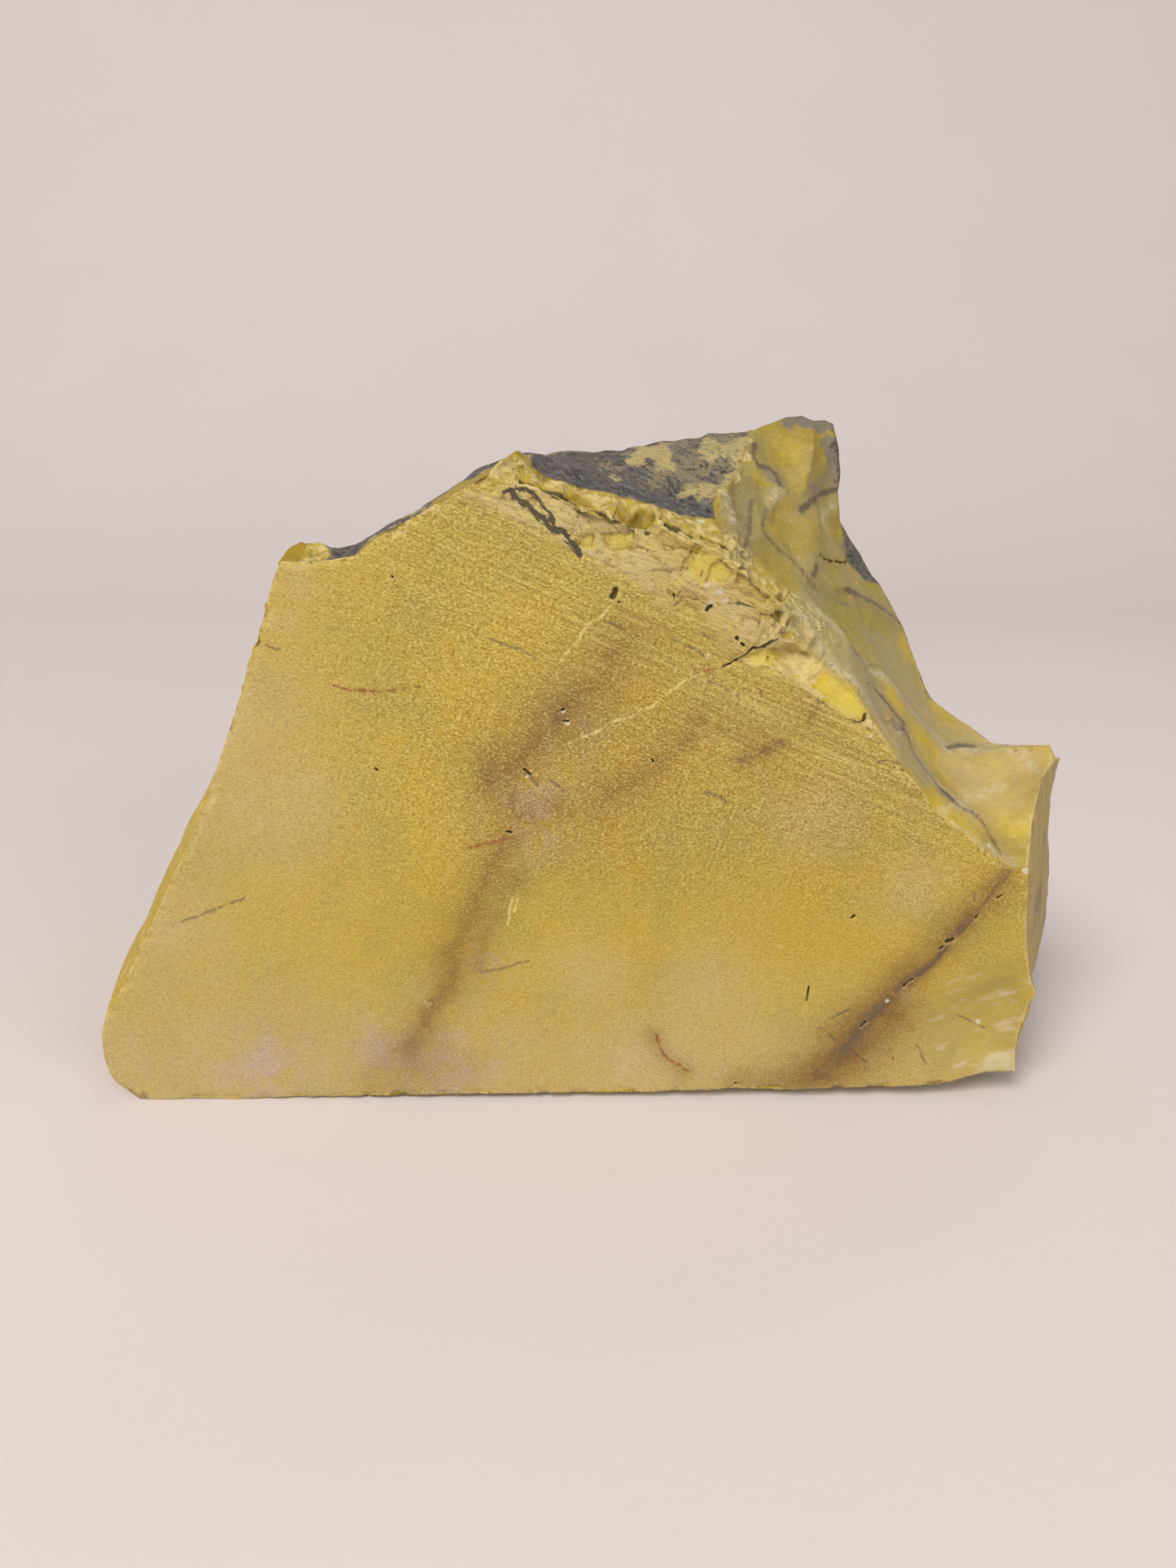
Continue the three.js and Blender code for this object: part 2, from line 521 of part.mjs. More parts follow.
// The finished solid, with its origin at the middle of its base
const geometry = new THREE.BufferGeometry().setFromPoints(points);
geometry.setIndex(triangles.flatMap((triangle) => triangle.at));
geometry.computeBoundingBox();
const middle = geometry.boundingBox.getCenter(new THREE.Vector3());
geometry.translate(-middle.x, -middle.y, -geometry.boundingBox.min.z);
geometry.computeVertexNormals();

const stone = new THREE.Mesh(
  geometry,
  new THREE.MeshStandardMaterial({ color: STONE_COLOUR, roughness: 0.6, metalness: 0, flatShading: true }),
);
stone.name = 'mookaite_stone';

const part = new THREE.Group();
part.add(stone);
export default part;
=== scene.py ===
"""The looks of a rough piece of mookaite: yellow stone with a sawn face, fresh breaks and weathered rind."""

import itertools
import math

import bpy
import numpy as np
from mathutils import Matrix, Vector
from mathutils.bvhtree import BVHTree


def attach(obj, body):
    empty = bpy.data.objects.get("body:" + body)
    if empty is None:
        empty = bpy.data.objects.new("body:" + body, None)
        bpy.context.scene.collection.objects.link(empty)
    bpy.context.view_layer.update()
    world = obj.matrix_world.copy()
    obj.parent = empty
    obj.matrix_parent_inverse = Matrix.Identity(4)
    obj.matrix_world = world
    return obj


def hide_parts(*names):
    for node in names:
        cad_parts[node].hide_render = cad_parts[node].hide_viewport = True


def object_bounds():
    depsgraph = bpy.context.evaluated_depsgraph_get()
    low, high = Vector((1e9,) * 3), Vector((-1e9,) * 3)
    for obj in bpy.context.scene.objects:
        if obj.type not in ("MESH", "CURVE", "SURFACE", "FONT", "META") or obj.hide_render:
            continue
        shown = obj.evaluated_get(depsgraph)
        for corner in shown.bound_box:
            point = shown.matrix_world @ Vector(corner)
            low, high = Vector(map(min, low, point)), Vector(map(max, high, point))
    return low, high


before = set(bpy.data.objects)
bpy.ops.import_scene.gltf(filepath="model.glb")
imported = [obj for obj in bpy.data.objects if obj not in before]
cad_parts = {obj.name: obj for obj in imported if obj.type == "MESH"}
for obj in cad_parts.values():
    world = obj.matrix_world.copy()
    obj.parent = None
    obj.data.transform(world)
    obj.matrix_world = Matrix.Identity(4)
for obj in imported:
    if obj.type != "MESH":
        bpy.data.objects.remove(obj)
cad_low, cad_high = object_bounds()

# The drawing frame, in millimetres: X from the middle of the view, Y back from the sawn face, Z up.
MM = 0.001
DRAWING_ORIGIN = np.array((0.787, cad_low.y / MM, 0.0))

# The camera and its view
VIEW_WIDTH = 1445
VIEW_HEIGHT = 1927
FOCAL_PIXELS = 1331
SENSOR = 36
PITCH = math.radians(20)
EYE = np.array((0.0, -105.0, 77.0))


def drawn(places):
    """Places of the frame, in metres, as places of the drawing frame."""
    return np.asarray(places) / MM - DRAWING_ORIGIN


def built(places):
    """The other way round."""
    return (np.asarray(places) + DRAWING_ORIGIN) * MM


def alone(piece):
    """Selects one object and nothing else."""
    bpy.ops.object.select_all(action="DESELECT")
    piece.select_set(True)
    bpy.context.view_layer.objects.active = piece


def pick_edges(mesh, picked):
    """Selects some edges of the active mesh and nothing else, and leaves it in edit mode."""
    bpy.ops.object.mode_set(mode="EDIT")
    bpy.ops.mesh.select_mode(type="EDGE")
    bpy.ops.mesh.select_all(action="DESELECT")
    bpy.ops.object.mode_set(mode="OBJECT")
    mesh.edges.foreach_set("select", picked)
    bpy.ops.object.mode_set(mode="EDIT")


# ---------------------------------------------------------------- camera, light and table

TABLE_SIZE = 3.0
BACKDROP_DISTANCE = 0.62
BACKDROP_HEIGHT = 1.6
BACKDROP_BEND = 0.35
BEND_SEGMENTS = 16
TABLE_COLOUR = (0.63, 0.565, 0.55)
SKY_COLOUR = (1.0, 0.955, 0.93)
SKY_STRENGTH = 0.37


def make_camera():
    camera = bpy.data.objects.new("view", bpy.data.cameras.new("view"))
    camera.data.lens = SENSOR * FOCAL_PIXELS / VIEW_HEIGHT
    camera.data.sensor_width = SENSOR
    camera.data.clip_start = 0.005
    camera.location = built(EYE)
    camera.rotation_euler = (math.pi / 2 - PITCH, 0, 0)
    bpy.context.collection.objects.link(camera)
    bpy.context.scene.camera = camera


def make_lamp(name, place, aim, size, power, colour=(1, 1, 1)):
    lamp = bpy.data.objects.new(name, bpy.data.lights.new(name, "AREA"))
    lamp.data.shape = "DISK"
    lamp.data.size = size
    lamp.data.energy = power
    lamp.data.color = colour
    lamp.location = place
    lamp.rotation_euler = (Vector(aim) - Vector(place)).to_track_quat("-Z", "Y").to_euler()
    bpy.context.collection.objects.link(lamp)


def make_lights():
    middle = (0, 0, 0.04)
    make_lamp("key", (-0.45, -0.75, 1.0), middle, 0.6, 15.5, (1, 0.98, 0.95))
    make_lamp("fill", (0.7, -0.7, 0.4), middle, 0.6, 4.0, (0.97, 0.98, 1))
    make_lamp("back", (0.25, 0.75, 0.7), middle, 0.6, 2.0)
    world = bpy.data.worlds.new("studio")
    world.use_nodes = True
    light = world.node_tree.nodes["Background"]
    light.inputs["Color"].default_value = (*SKY_COLOUR, 1)
    light.inputs["Strength"].default_value = SKY_STRENGTH
    bpy.context.scene.world = world
    bpy.context.scene.view_settings.view_transform = "Standard"


# ---------------------------------------------------------------- shader maths


class Term:
    """A value, colour or vector inside a material, which can be written in a sum."""

    def __init__(self, finish, socket):
        self.finish = finish
        self.socket = socket

    def maths(self, operation, *others):
        return self.finish.maths(operation, self, *others)

    def __add__(self, other):
        return self.maths("ADD", other)

    def __sub__(self, other):
        return self.maths("SUBTRACT", other)

    def __rsub__(self, other):
        return self.finish.maths("SUBTRACT", other, self)

    def __mul__(self, other):
        return self.maths("MULTIPLY", other)

    __radd__ = __add__
    __rmul__ = __mul__


class Finish:
    """A material that is being put together."""

    def __init__(self, name, colour):
        self.colour = colour
        self.material = bpy.data.materials.new(name)
        self.material.use_nodes = True
        self.tree = self.material.node_tree
        self.tree.nodes.clear()
        whole = self.node("TexCoord", out="Object")
        shift = tuple(-DRAWING_ORIGIN)
        scale = (1 / MM,) * 3
        self.place = self.node("VectorMath", {"operation": "MULTIPLY_ADD"}, {0: whole, 1: scale, 2: shift})
        ways = [self.node("SeparateXYZ", {}, {0: self.place}, out=way) for way in "XYZ"]
        self.across, self.back, self.up = ways

    def node(self, kind, settings=None, sockets=None, out=0):
        """Adds a node, sets it up, fills its sockets and gives back one of its outputs."""
        node = self.tree.nodes.new("ShaderNode" + kind)
        for name, value in (settings or {}).items():
            setattr(node, name, value)
        for name, value in (sockets or {}).items():
            if isinstance(value, Term):
                self.tree.links.new(value.socket, node.inputs[name])
            else:
                node.inputs[name].default_value = value
        return Term(self, node.outputs[out]) if node.outputs else None

    def maths(self, operation, *values):
        return self.node("Math", {"operation": operation}, dict(enumerate(values)))

    def most(self, *values):
        high = values[0]
        for value in values[1:]:
            high = self.maths("MAXIMUM", high, value)
        return high

    def painted(self, name):
        """A value painted on the stone's points."""
        return self.node("Attribute", {"attribute_name": name}, out="Fac")

    def where(self, name, low, high):
        return self.rise(self.painted(name), low, high)

    def frayed(self, name, noise, amount, low, high):
        """The same with a border that some noise frays."""
        return self.rise(self.painted(name) + (noise - 0.5) * amount, low, high)

    def noise(self, size, detail=2.0, roughness=0.55, place=None, shift=0.0):
        """Cloudy noise from 0 to 1, with blobs of one size in millimetres."""
        place = place or self.place
        if shift:
            place = self.node("VectorMath", {"operation": "ADD"}, {0: place, 1: (shift, shift * 0.7, -shift)})
        sockets = {"Vector": place, "Scale": 1 / size, "Detail": detail, "Roughness": roughness}
        return self.node("TexNoise", {}, sockets)

    def drawn_out(self, lengths, turn=0):
        """The place with each direction stretched, turned in the plane of the sawn face by some degrees."""
        sockets = {"Vector": self.place, "Rotation": (0, math.radians(turn), 0), "Scale": lengths}
        return self.node("Mapping", {"vector_type": "TEXTURE"}, sockets)

    def rise(self, value, low, high):
        """0 below low, 1 above high, and a soft step between. Low may be the greater."""
        sockets = {"Value": value, "From Min": low, "From Max": high, "To Min": 0.0, "To Max": 1.0}
        return self.node("MapRange", {"interpolation_type": "SMOOTHSTEP"}, sockets)

    def mix(self, one, two, mask):
        """One colour turning to another where the mask is 1."""
        return self.node("Mix", {"data_type": "RGBA"}, {"Factor": mask, 6: full(one), 7: full(two)}, out=2)

    def lay(self, colour, mask):
        """Lays a colour over the finish where the mask is 1."""
        self.colour = self.mix(self.colour, colour, mask)

    def weathered(self, strip=0.0):
        """1 inside the rind and 0 on the breaks, with the same frayed border in every material."""
        inside = self.painted("rind") - strip + (self.noise(0.9, 4, 0.65) - 0.5) * 0.9
        return self.rise(inside, 0.02, 0.26)

    def surface(self, roughness, height, bump_distance, specular=0.3):
        bump = self.node("Bump", {}, {"Height": height, "Distance": bump_distance * MM, "Strength": 1.0})
        sockets = {"Base Color": self.colour, "Roughness": roughness, "Normal": bump}
        shader = self.node("BsdfPrincipled", {}, {**sockets, "Specular IOR Level": specular})
        self.node("OutputMaterial", {}, {"Surface": shader})
        return self.material


def full(colour):
    return colour if isinstance(colour, Term) else (*colour, 1.0)


# ---------------------------------------------------------------- numbers that vary over the stone


SCRAMBLE_PLACE = (73856093, 19349663, 83492791)
SCRAMBLE_SEED = 26544357
SCRAMBLE_ROUNDS = ((13, 1274126177), (15, 2246822519))
ALL_BITS = 0xFFFFFFFF
LOW_BITS = 0xFFFF


def hashed(cells, seed):
    """A repeatable random number from 0 to 1 for each whole-number place."""
    mixed = np.bitwise_xor.reduce(cells.astype(np.int64) * SCRAMBLE_PLACE, axis=1) ^ (seed * SCRAMBLE_SEED)
    for shift, factor in SCRAMBLE_ROUNDS:
        mixed = ((mixed ^ (mixed >> shift)) * factor) & ALL_BITS
    return ((mixed ^ (mixed >> 16)) & LOW_BITS) / LOW_BITS


def clouds(at, size, seed):
    """Smooth noise from -1 to 1 with lumps of one size in millimetres."""
    place = at / size + seed * 3.7
    cell = np.floor(place)
    part = place - cell
    part = part * part * (3 - 2 * part)
    total = np.zeros(len(at))
    for corner in itertools.product((0, 1), repeat=3):
        weight = np.prod(np.where(np.array(corner) == 1, part, 1 - part), axis=1)
        total += weight * hashed(cell + corner, seed)
    return total * 2 - 1


def wobble(at, size, seed):
    return np.stack([clouds(at, size, seed + i) for i in range(3)], 1)


def terraces(value, riser=0.22):
    """Turns a smooth value into level steps; the riser is the share of each step that climbs."""
    whole = np.floor(value)
    return whole + soft_step(value - whole, 1 - riser, 1)


def scoops(at, size, seed, tilt=0.8, uneven=0.5):
    """The height of a face of overlapping flake scars: hollows that meet in sharp ridges."""
    place = at / size
    cell = np.floor(place)
    lowest = np.full(len(at), 9.0)
    for step in itertools.product((-1, 0, 1), repeat=3):
        corner = cell + step
        random = [hashed(corner, seed + i) for i in range(7)]
        away = place - corner - np.stack(random[:3], 1)
        lean = np.stack(random[3:6], 1) * 2 - 1
        height = (away**2).sum(1) + tilt * (away * lean).sum(1) + uneven * random[6]
        lowest = np.minimum(lowest, height)
    return lowest


def soft_step(value, low, high):
    part = np.clip((value - low) / (high - low), 0, 1)
    return part * part * (3 - 2 * part)


def straight_distance(at, start, end):
    """How far each place is from the straight line between two others."""
    run = end - start
    away = at - start
    along = np.clip(away @ run / (run @ run), 0, 1)
    away -= along[:, None] * run
    return np.sqrt(np.einsum("ij,ij->i", away, away))


def line_distance(at, lines, reach=5.0):
    """How far each place is from the nearest of some bent lines, or the reach where they are further."""
    nearest = np.full(len(at), float(reach))
    for line in lines:
        bends = np.asarray(line)
        close = ((at > bends.min(0) - reach) & (at < bends.max(0) + reach)).all(1)
        which = np.flatnonzero(close)
        place = at[which]
        for start, end in zip(bends[:-1], bends[1:]):
            nearest[which] = np.minimum(nearest[which], straight_distance(place, start, end))
    return nearest


def inside_distance(at, outline):
    """How far each flat place is inside an outline, and less than 0 outside it."""
    outline = np.asarray(outline, float)
    nearest = np.full(len(at), 1e9)
    within = np.zeros(len(at), bool)
    for start, end in zip(outline, np.roll(outline, -1, 0)):
        nearest = np.minimum(nearest, straight_distance(at, start, end))
        crosses = (start[1] > at[:, 1]) != (end[1] > at[:, 1])
        width, height = end - start
        within ^= crosses & (at[:, 0] < width * (at[:, 1] - start[1]) / (height or 1e-9) + start[0])
    return np.where(within, nearest, -nearest)


# ---------------------------------------------------------------- places in the camera's view


def sight(u, v):
    """The direction in which the camera sees one pixel of its view."""
    right = (u - VIEW_WIDTH / 2) / FOCAL_PIXELS
    down = (v - VIEW_HEIGHT / 2) / FOCAL_PIXELS
    ahead = math.cos(PITCH) - down * math.sin(PITCH)
    return Vector((right, ahead, -math.sin(PITCH) - down * math.cos(PITCH))).normalized()


def in_pixels(at):
    """Where the camera sees each place, in pixels."""
    away = at - EYE
    ahead = away[:, 1] * math.cos(PITCH) - away[:, 2] * math.sin(PITCH)
    down = -away[:, 1] * math.sin(PITCH) - away[:, 2] * math.cos(PITCH)
    u = away[:, 0] / ahead * FOCAL_PIXELS + VIEW_WIDTH / 2
    v = down / ahead * FOCAL_PIXELS + VIEW_HEIGHT / 2
    return np.stack((u, v), 1)


MIDDLE_OF_STONE = (700, 930)
STEPS_INWARD = 40
STEP_INWARD = 0.01


def on_stone(u, v):
    """The place on the stone that the camera sees there, or the nearest one inside its outline."""
    for _ in range(STEPS_INWARD):
        hit = skin.ray_cast(Vector(EYE), sight(u, v))[0]
        if hit:
            return np.array(hit)
        u += (MIDDLE_OF_STONE[0] - u) * STEP_INWARD
        v += (MIDDLE_OF_STONE[1] - v) * STEP_INWARD
    raise ValueError("no stone there")


def traced(line):
    return [on_stone(u, v) for u, v in line]


def all_traced(lines):
    return [traced(line) for line in lines]


def traced_pairs(pairs):
    return [(traced(line), value) for line, value in pairs]


def placed(pairs):
    return [(on_stone(u, v), radius) for (u, v), radius in pairs]


# Lines and patches on the stone, by their pixels in the camera's view

# Cracks: the line and half its width in millimetres
CRACKS = [
    ([(797, 675), (791, 682), (786, 691)], 0.08),
    ([(850, 676), (852, 690), (846, 699), (836, 708)], 0.08),
    ([(873, 692), (862, 703), (859, 712), (857, 719)], 0.07),
    ([(908, 700), (924, 714), (935, 725), (946, 733)], 0.08),
    ([(888, 820), (905, 812), (917, 805), (926, 797), (941, 796), (956, 785)], 0.12),
    ([(1065, 876), (1062, 884), (1056, 888), (1050, 883)], 0.12),
    ([(1008, 682), (1016, 687), (1027, 690), (1040, 691)], 0.16),
    ([(816, 716), (828, 722), (832, 728)], 0.07),
    ([(760, 702), (768, 708), (776, 716)], 0.07),
    ([(871, 781), (870, 785)], 0.06),
    ([(866, 797), (864, 807)], 0.05),
    ([(896, 740), (910, 742), (930, 748), (944, 753)], 0.07),
    ([(983, 748), (990, 760), (1000, 770), (1012, 772)], 0.05),
]

# Gaps below the ledge, which look equally wide wherever they run
LEDGE_GAPS = [
    [(640, 590), (652, 595), (664, 599), (680, 604), (700, 615), (712, 621)],
    [(716, 625), (730, 629), (742, 632), (749, 637), (762, 641)], [(772, 644), (787, 650), (798, 655)],
    [(818, 645), (830, 649), (838, 655), (850, 660)], [(862, 659), (875, 663), (894, 673)],
]
GAP_WIDTH = 3.6  # half of it, in pixels
FAR_FROM_GAP = 20.0

# Dark veins through the stone: the line and how dark it is
DARK_VEINS = [
    ([(1047, 798), (1055, 807), (1063, 818)], 1.0),
    ([(1063, 818), (1080, 820), (1103, 848), (1127, 880), (1146, 902), (1165, 917)], 0.5),
    ([(1165, 917), (1180, 915), (1197, 918)], 0.8),
    ([(1075, 846), (1098, 875), (1110, 890), (1112, 900)], 0.8),
    ([(1112, 900), (1122, 922), (1140, 950), (1156, 970)], 0.7),
    ([(1156, 970), (1165, 976), (1172, 984)], 1.0),
    ([(1172, 984), (1190, 997), (1206, 1010), (1218, 1030), (1230, 1050)], 0.6),
    ([(1040, 725), (1057, 731), (1070, 739), (1088, 750), (1103, 765)], 0.75),
    ([(1018, 731), (1030, 740), (1044, 744)], 0.5),
    ([(928, 545), (925, 560), (932, 572), (944, 574), (952, 582), (960, 597)], 0.8),
    ([(905, 560), (903, 580), (908, 610), (915, 640)], 0.3),
    ([(924, 615), (921, 645), (916, 672), (913, 697)], 0.7),
    ([(940, 625), (938, 652), (952, 672), (970, 686), (985, 700), (992, 715), (1004, 727)], 0.6),
    ([(1030, 600), (1014, 604), (998, 616), (985, 628)], 0.9),
    ([(990, 640), (987, 660), (990, 690)], 0.3),
    ([(1002, 695), (998, 706)], 0.9),
]

# Pale lines on the breaks: the pale borders of veins, and painted highlights along ridges and edges
PALE_VEINS_AND_HIGHLIGHTS = [
    [(1000, 745), (1022, 768), (1047, 797), (1066, 823), (1090, 838), (1125, 878), (1160, 914)],
    [(960, 600), (950, 613), (944, 622)],
    [(890, 605), (893, 620), (903, 640)],
    [(1165, 922), (1182, 920), (1200, 922)],
    [(1010, 640), (1025, 620), (1040, 604)],
    [(1125, 925), (1145, 955), (1172, 980), (1194, 1000)],
    [(1150, 1003), (1180, 1022), (1210, 1038), (1240, 1058)],
    [(975, 745), (990, 765), (1010, 800), (1035, 828)],
    [(1040, 826), (1062, 852), (1078, 880), (1100, 915)],
    [(1228, 912), (1252, 930), (1276, 948)],
    [(1150, 1003), (1190, 978), (1230, 966)],
]

RUST_LINES = [
    [(409, 842), (430, 848), (460, 850), (515, 845)],
    [(578, 1042), (600, 1036), (630, 1030)],
    [(864, 825), (872, 824), (882, 821)],
    [(930, 843), (935, 851)],
    [(807, 1271), (811, 1286), (819, 1300), (843, 1316)],
    [(1092, 1290), (1096, 1302)],
]

# The dark seam at the lower right of the sawn face
SEAM = [(1243, 1070), (1225, 1092), (1195, 1130), (1168, 1160), (1140, 1190), (1108, 1214)]
SEAM_END = [(1092, 1230), (1068, 1252), (1036, 1290)]

DARK_LINES = [
    SEAM, SEAM_END,
    [(1008, 1263), (1034, 1282), (1065, 1307)],
    [(203, 1138), (230, 1131), (258, 1120), (302, 1103)],
    [(590, 1195), (618, 1189), (650, 1180)],
    [(316, 790), (345, 800)],
    [(385, 690), (400, 700)],
    [(1180, 1253), (1212, 1270)],
    [(1024, 1250), (1040, 1243), (1054, 1236)],
    [(600, 785), (630, 796), (662, 811)],
    [(868, 838), (884, 844), (906, 855)],
    [(740, 764), (760, 771), (782, 782)],
    [(826, 786), (846, 794), (862, 803)],
    [(640, 951), (650, 957), (660, 966)],
    [(678, 960), (686, 967), (694, 974)],
    [(864, 974), (880, 975), (894, 984)],
    [(1195, 1098), (1197, 1108)],
    [(1126, 1285), (1136, 1305)],
    [(1078, 937), (1090, 934), (1102, 936)],
]

LIGHT_LINES = [
    [(862, 826), (835, 841), (803, 866), (780, 878), (747, 890), (699, 914)],
    [(755, 742), (723, 769), (705, 795), (691, 812)],
    [(634, 1096), (629, 1112), (622, 1138)],
    [(638, 1102), (632, 1122)],
]

# Charcoal streaks at the top of the sawn face: the line and half its width in millimetres
BLACK_STREAKS = [
    ([(620, 605), (634, 601), (648, 601), (656, 607), (664, 617), (674, 630), (681, 641)], 0.19),
    ([(632, 607), (642, 617), (656, 629), (668, 640), (680, 650), (686, 654)], 0.29),
    ([(684, 650), (693, 655), (698, 663), (706, 671), (713, 680)], 0.26),
]

# Soft brown stains in the sawn face: the line, how wide it spreads in millimetres, how dark it is
STAINS = [
    ([(768, 792), (745, 828), (722, 852), (705, 868), (688, 882)], 0.8, 0.5),
    ([(768, 792), (730, 845), (690, 882)], 2.8, 0.35),
    ([(688, 882), (672, 900), (650, 922), (628, 938), (604, 950)], 1.4, 0.5),
    ([(688, 890), (640, 930), (606, 960)], 3.2, 0.3),
    ([(858, 886), (846, 903), (825, 928), (802, 944), (768, 966), (742, 984)], 0.7, 0.5),
    ([(850, 895), (802, 944), (742, 984)], 2.6, 0.35),
    ([(598, 936), (602, 962), (622, 988), (655, 1000), (684, 994)], 1.6, 0.45),
    ([(625, 1030), (606, 1062), (586, 1110), (566, 1155), (552, 1195), (530, 1243), (505, 1290)], 1.1, 0.48),
    ([(612, 1040), (590, 1090), (566, 1150), (530, 1243), (500, 1300)], 3.2, 0.33),
    ([(640, 1070), (618, 1110), (600, 1150), (585, 1190)], 1.0, 0.35),
    ([(1006, 858), (990, 886), (962, 910), (930, 928), (906, 934)], 0.6, 0.85),
    ([(1010, 850), (985, 890), (930, 925)], 2.4, 0.3),
    (SEAM, 0.8, 0.75), (SEAM, 0.42, 0.9), (SEAM_END, 0.8, 0.75), (SEAM_END, 0.36, 0.9),
    ([(1225, 1095), (1165, 1155), (1120, 1195), (1062, 1250), (1020, 1305)], 2.4, 0.6),
    ([(1095, 1245), (1060, 1280), (1010, 1320)], 4.0, 0.8),
    ([(470, 1330), (520, 1320), (562, 1310)], 3.6, 0.22),
    ([(1000, 1322), (960, 1326), (900, 1330)], 1.6, 0.35),
    ([(715, 870), (650, 915), (640, 960), (690, 1000)], 7.0, 0.22),
    ([(820, 800), (900, 850), (980, 900)], 9.0, 0.2),
    ([(760, 1000), (900, 1050), (1100, 1060)], 11.0, 0.1),
    ([(807, 1271), (819, 1300), (843, 1316)], 1.4, 0.35),
]

# Purple blushes in the sawn face: the place and the radius in millimetres
BLUSHES = [((650, 1000), 4.5), ((700, 900), 2.6), ((540, 1310), 7.0), ((320, 1310), 5.0), ((480, 1290), 4.0),
           ((1110, 1222), 1.2), ((985, 1325), 1.6), ((600, 1180), 2.6), ((520, 1325), 3.0)]

# Pale hazes in the sawn face, the same way
HAZES = [((362, 715), 2.4), ((352, 760), 2.2), ((270, 900), 9.0), ((330, 980), 8.0), ((200, 1130), 6.0),
         ((1000, 1000), 4.5), ((870, 1210), 6.0), ((720, 1190), 5.0), ((1120, 1090), 4.0), ((800, 1310), 8.0)]

# Small pits in the sawn face: the line and the radius in millimetres
PITS = [
    ([(756, 726), (753, 733)], 0.36), ([(690, 873), (694, 872)], 0.13), ([(693, 886), (698, 887)], 0.14),
    ([(482, 708), (483, 711)], 0.1), ([(461, 944), (463, 947)], 0.12), ([(995, 1214), (991, 1231)], 0.12),
    ([(1047, 1128), (1050, 1126)], 0.16), ([(643, 946), (652, 952)], 0.13), ([(873, 745), (868, 750)], 0.2),
    ([(1226, 1104), (1230, 1101)], 0.14), ([(1199, 1129), (1201, 1126)], 0.14),
    ([(1164, 1157), (1170, 1155)], 0.24), ([(1155, 1166), (1158, 1164)], 0.16),
    ([(1110, 1212), (1116, 1206), (1122, 1203)], 0.14), ([(1058, 1262), (1064, 1256)], 0.18),
    ([(622, 1022), (628, 1024)], 0.14), ([(944, 808), (944, 813)], 0.16), ([(1018, 833), (1020, 835)], 0.18),
    ([(801, 934), (802, 937)], 0.12), ([(904, 783), (906, 785)], 0.16), ([(911, 792), (914, 794)], 0.14),
    ([(828, 731), (830, 736)], 0.1), ([(760, 740), (761, 741)], 0.1),
]
# Small white spots: the place and the radius in millimetres
WHITE_SPOTS = [
    ((537, 972), 0.34), ((715, 967), 0.26), ((697, 889), 0.36), ((868, 719), 0.4), ((330, 1322), 0.3),
    ((212, 1146), 0.3), ((450, 1145), 0.2), ((862, 640), 0.5), ((1096, 950), 0.3), ((1090, 1229), 0.36),
    ((1217, 1040), 0.35), ((1262, 1069), 0.5), ((1206, 1262), 0.4), ((884, 728), 0.5), ((890, 738), 0.4),
    ((874, 744), 0.45), ((869, 806), 0.25), ((694, 874), 0.3), ((837, 830), 0.18), ((646, 957), 0.2),
    ((1070, 905), 0.25), ((960, 736), 0.3),
]

CRACK_DEPTH = 0.5
OPEN_CRACK = 0.12  # a crack with a smaller half width is only a dark line
PIT_DEPTH = 0.45
CRUSHED_DEPTH = 0.5
CHIP_DEPTH = 1.3
CHIP_SLOPE = 80        # how far in, in pixels, the chip gets deeper
FOOT_WAVE = 0.5        # how far the front edge of the base is nibbled upwards
SUNK_FLAKE = 0.35      # the height of a flake scar's floor, as a share of its size
FACET_SMOOTHNESS = 0.85

# Three flakes of the ledge with clean floors
END_FLAKE = [(617, 582), (634, 580), (629, 590)]
LONG_FLAKE = [(690, 611), (700, 605), (716, 604), (728, 612), (740, 628), (720, 623), (705, 617)]
LENS = [(767, 641), (776, 630), (789, 623), (800, 622), (808, 632), (805, 645), (797, 654), (782, 648)]
# Flakes gone from the ledge and below it: the outline, how deep in millimetres, how wide its rim in pixels
HOLLOWS = [
    (END_FLAKE, 0.45, 5),
    ([(648, 590), (664, 592), (680, 602), (664, 599)], 0.39, 4),
    (LONG_FLAKE, 0.59, 8),
    ([(748, 637), (752, 629), (760, 629), (763, 640)], 0.33, 4),
    (LENS, 1, 8),
    ([(807, 640), (812, 630), (819, 634), (816, 643)], 0.33, 4),
    ([(826, 630), (838, 627), (845, 633), (834, 637)], 0.33, 4),
    ([(806, 647), (814, 641), (829, 646), (850, 660), (850, 667), (828, 656)], 0.26, 3),
    ([(860, 662), (878, 666), (893, 674), (888, 680), (872, 674)], 0.45, 4),
    ([(852, 668), (866, 672), (853, 695), (840, 708), (832, 704)], 0.33, 3),
    ([(874, 692), (888, 684), (905, 706), (893, 716), (862, 720)], 0.33, 4),
    ([(905, 700), (925, 712), (948, 735), (938, 745), (912, 735), (900, 718)], 0.39, 5),
    ([(950, 733), (961, 724), (967, 728), (976, 719), (968, 737), (960, 742)], 1, 4),
    ([(945, 757), (957, 750), (967, 751), (964, 767), (960, 771), (952, 765)], 0.65, 4),
    ([(735, 656), (760, 652), (784, 656), (778, 680), (745, 678)], 0.29, 3),
    ([(706, 657), (732, 655), (730, 676), (710, 674)], 0.26, 3),
    ([(984, 838), (1012, 822), (1035, 834), (1050, 850), (1066, 876), (1062, 890), (1040, 880), (1014, 864)],
     0.26, 3),
    ([(1080, 884), (1100, 880), (1114, 898), (1100, 902)], 0.33, 6),
    ([(1022, 720), (1050, 726), (1046, 744), (1030, 742)], 0.33, 6),
]

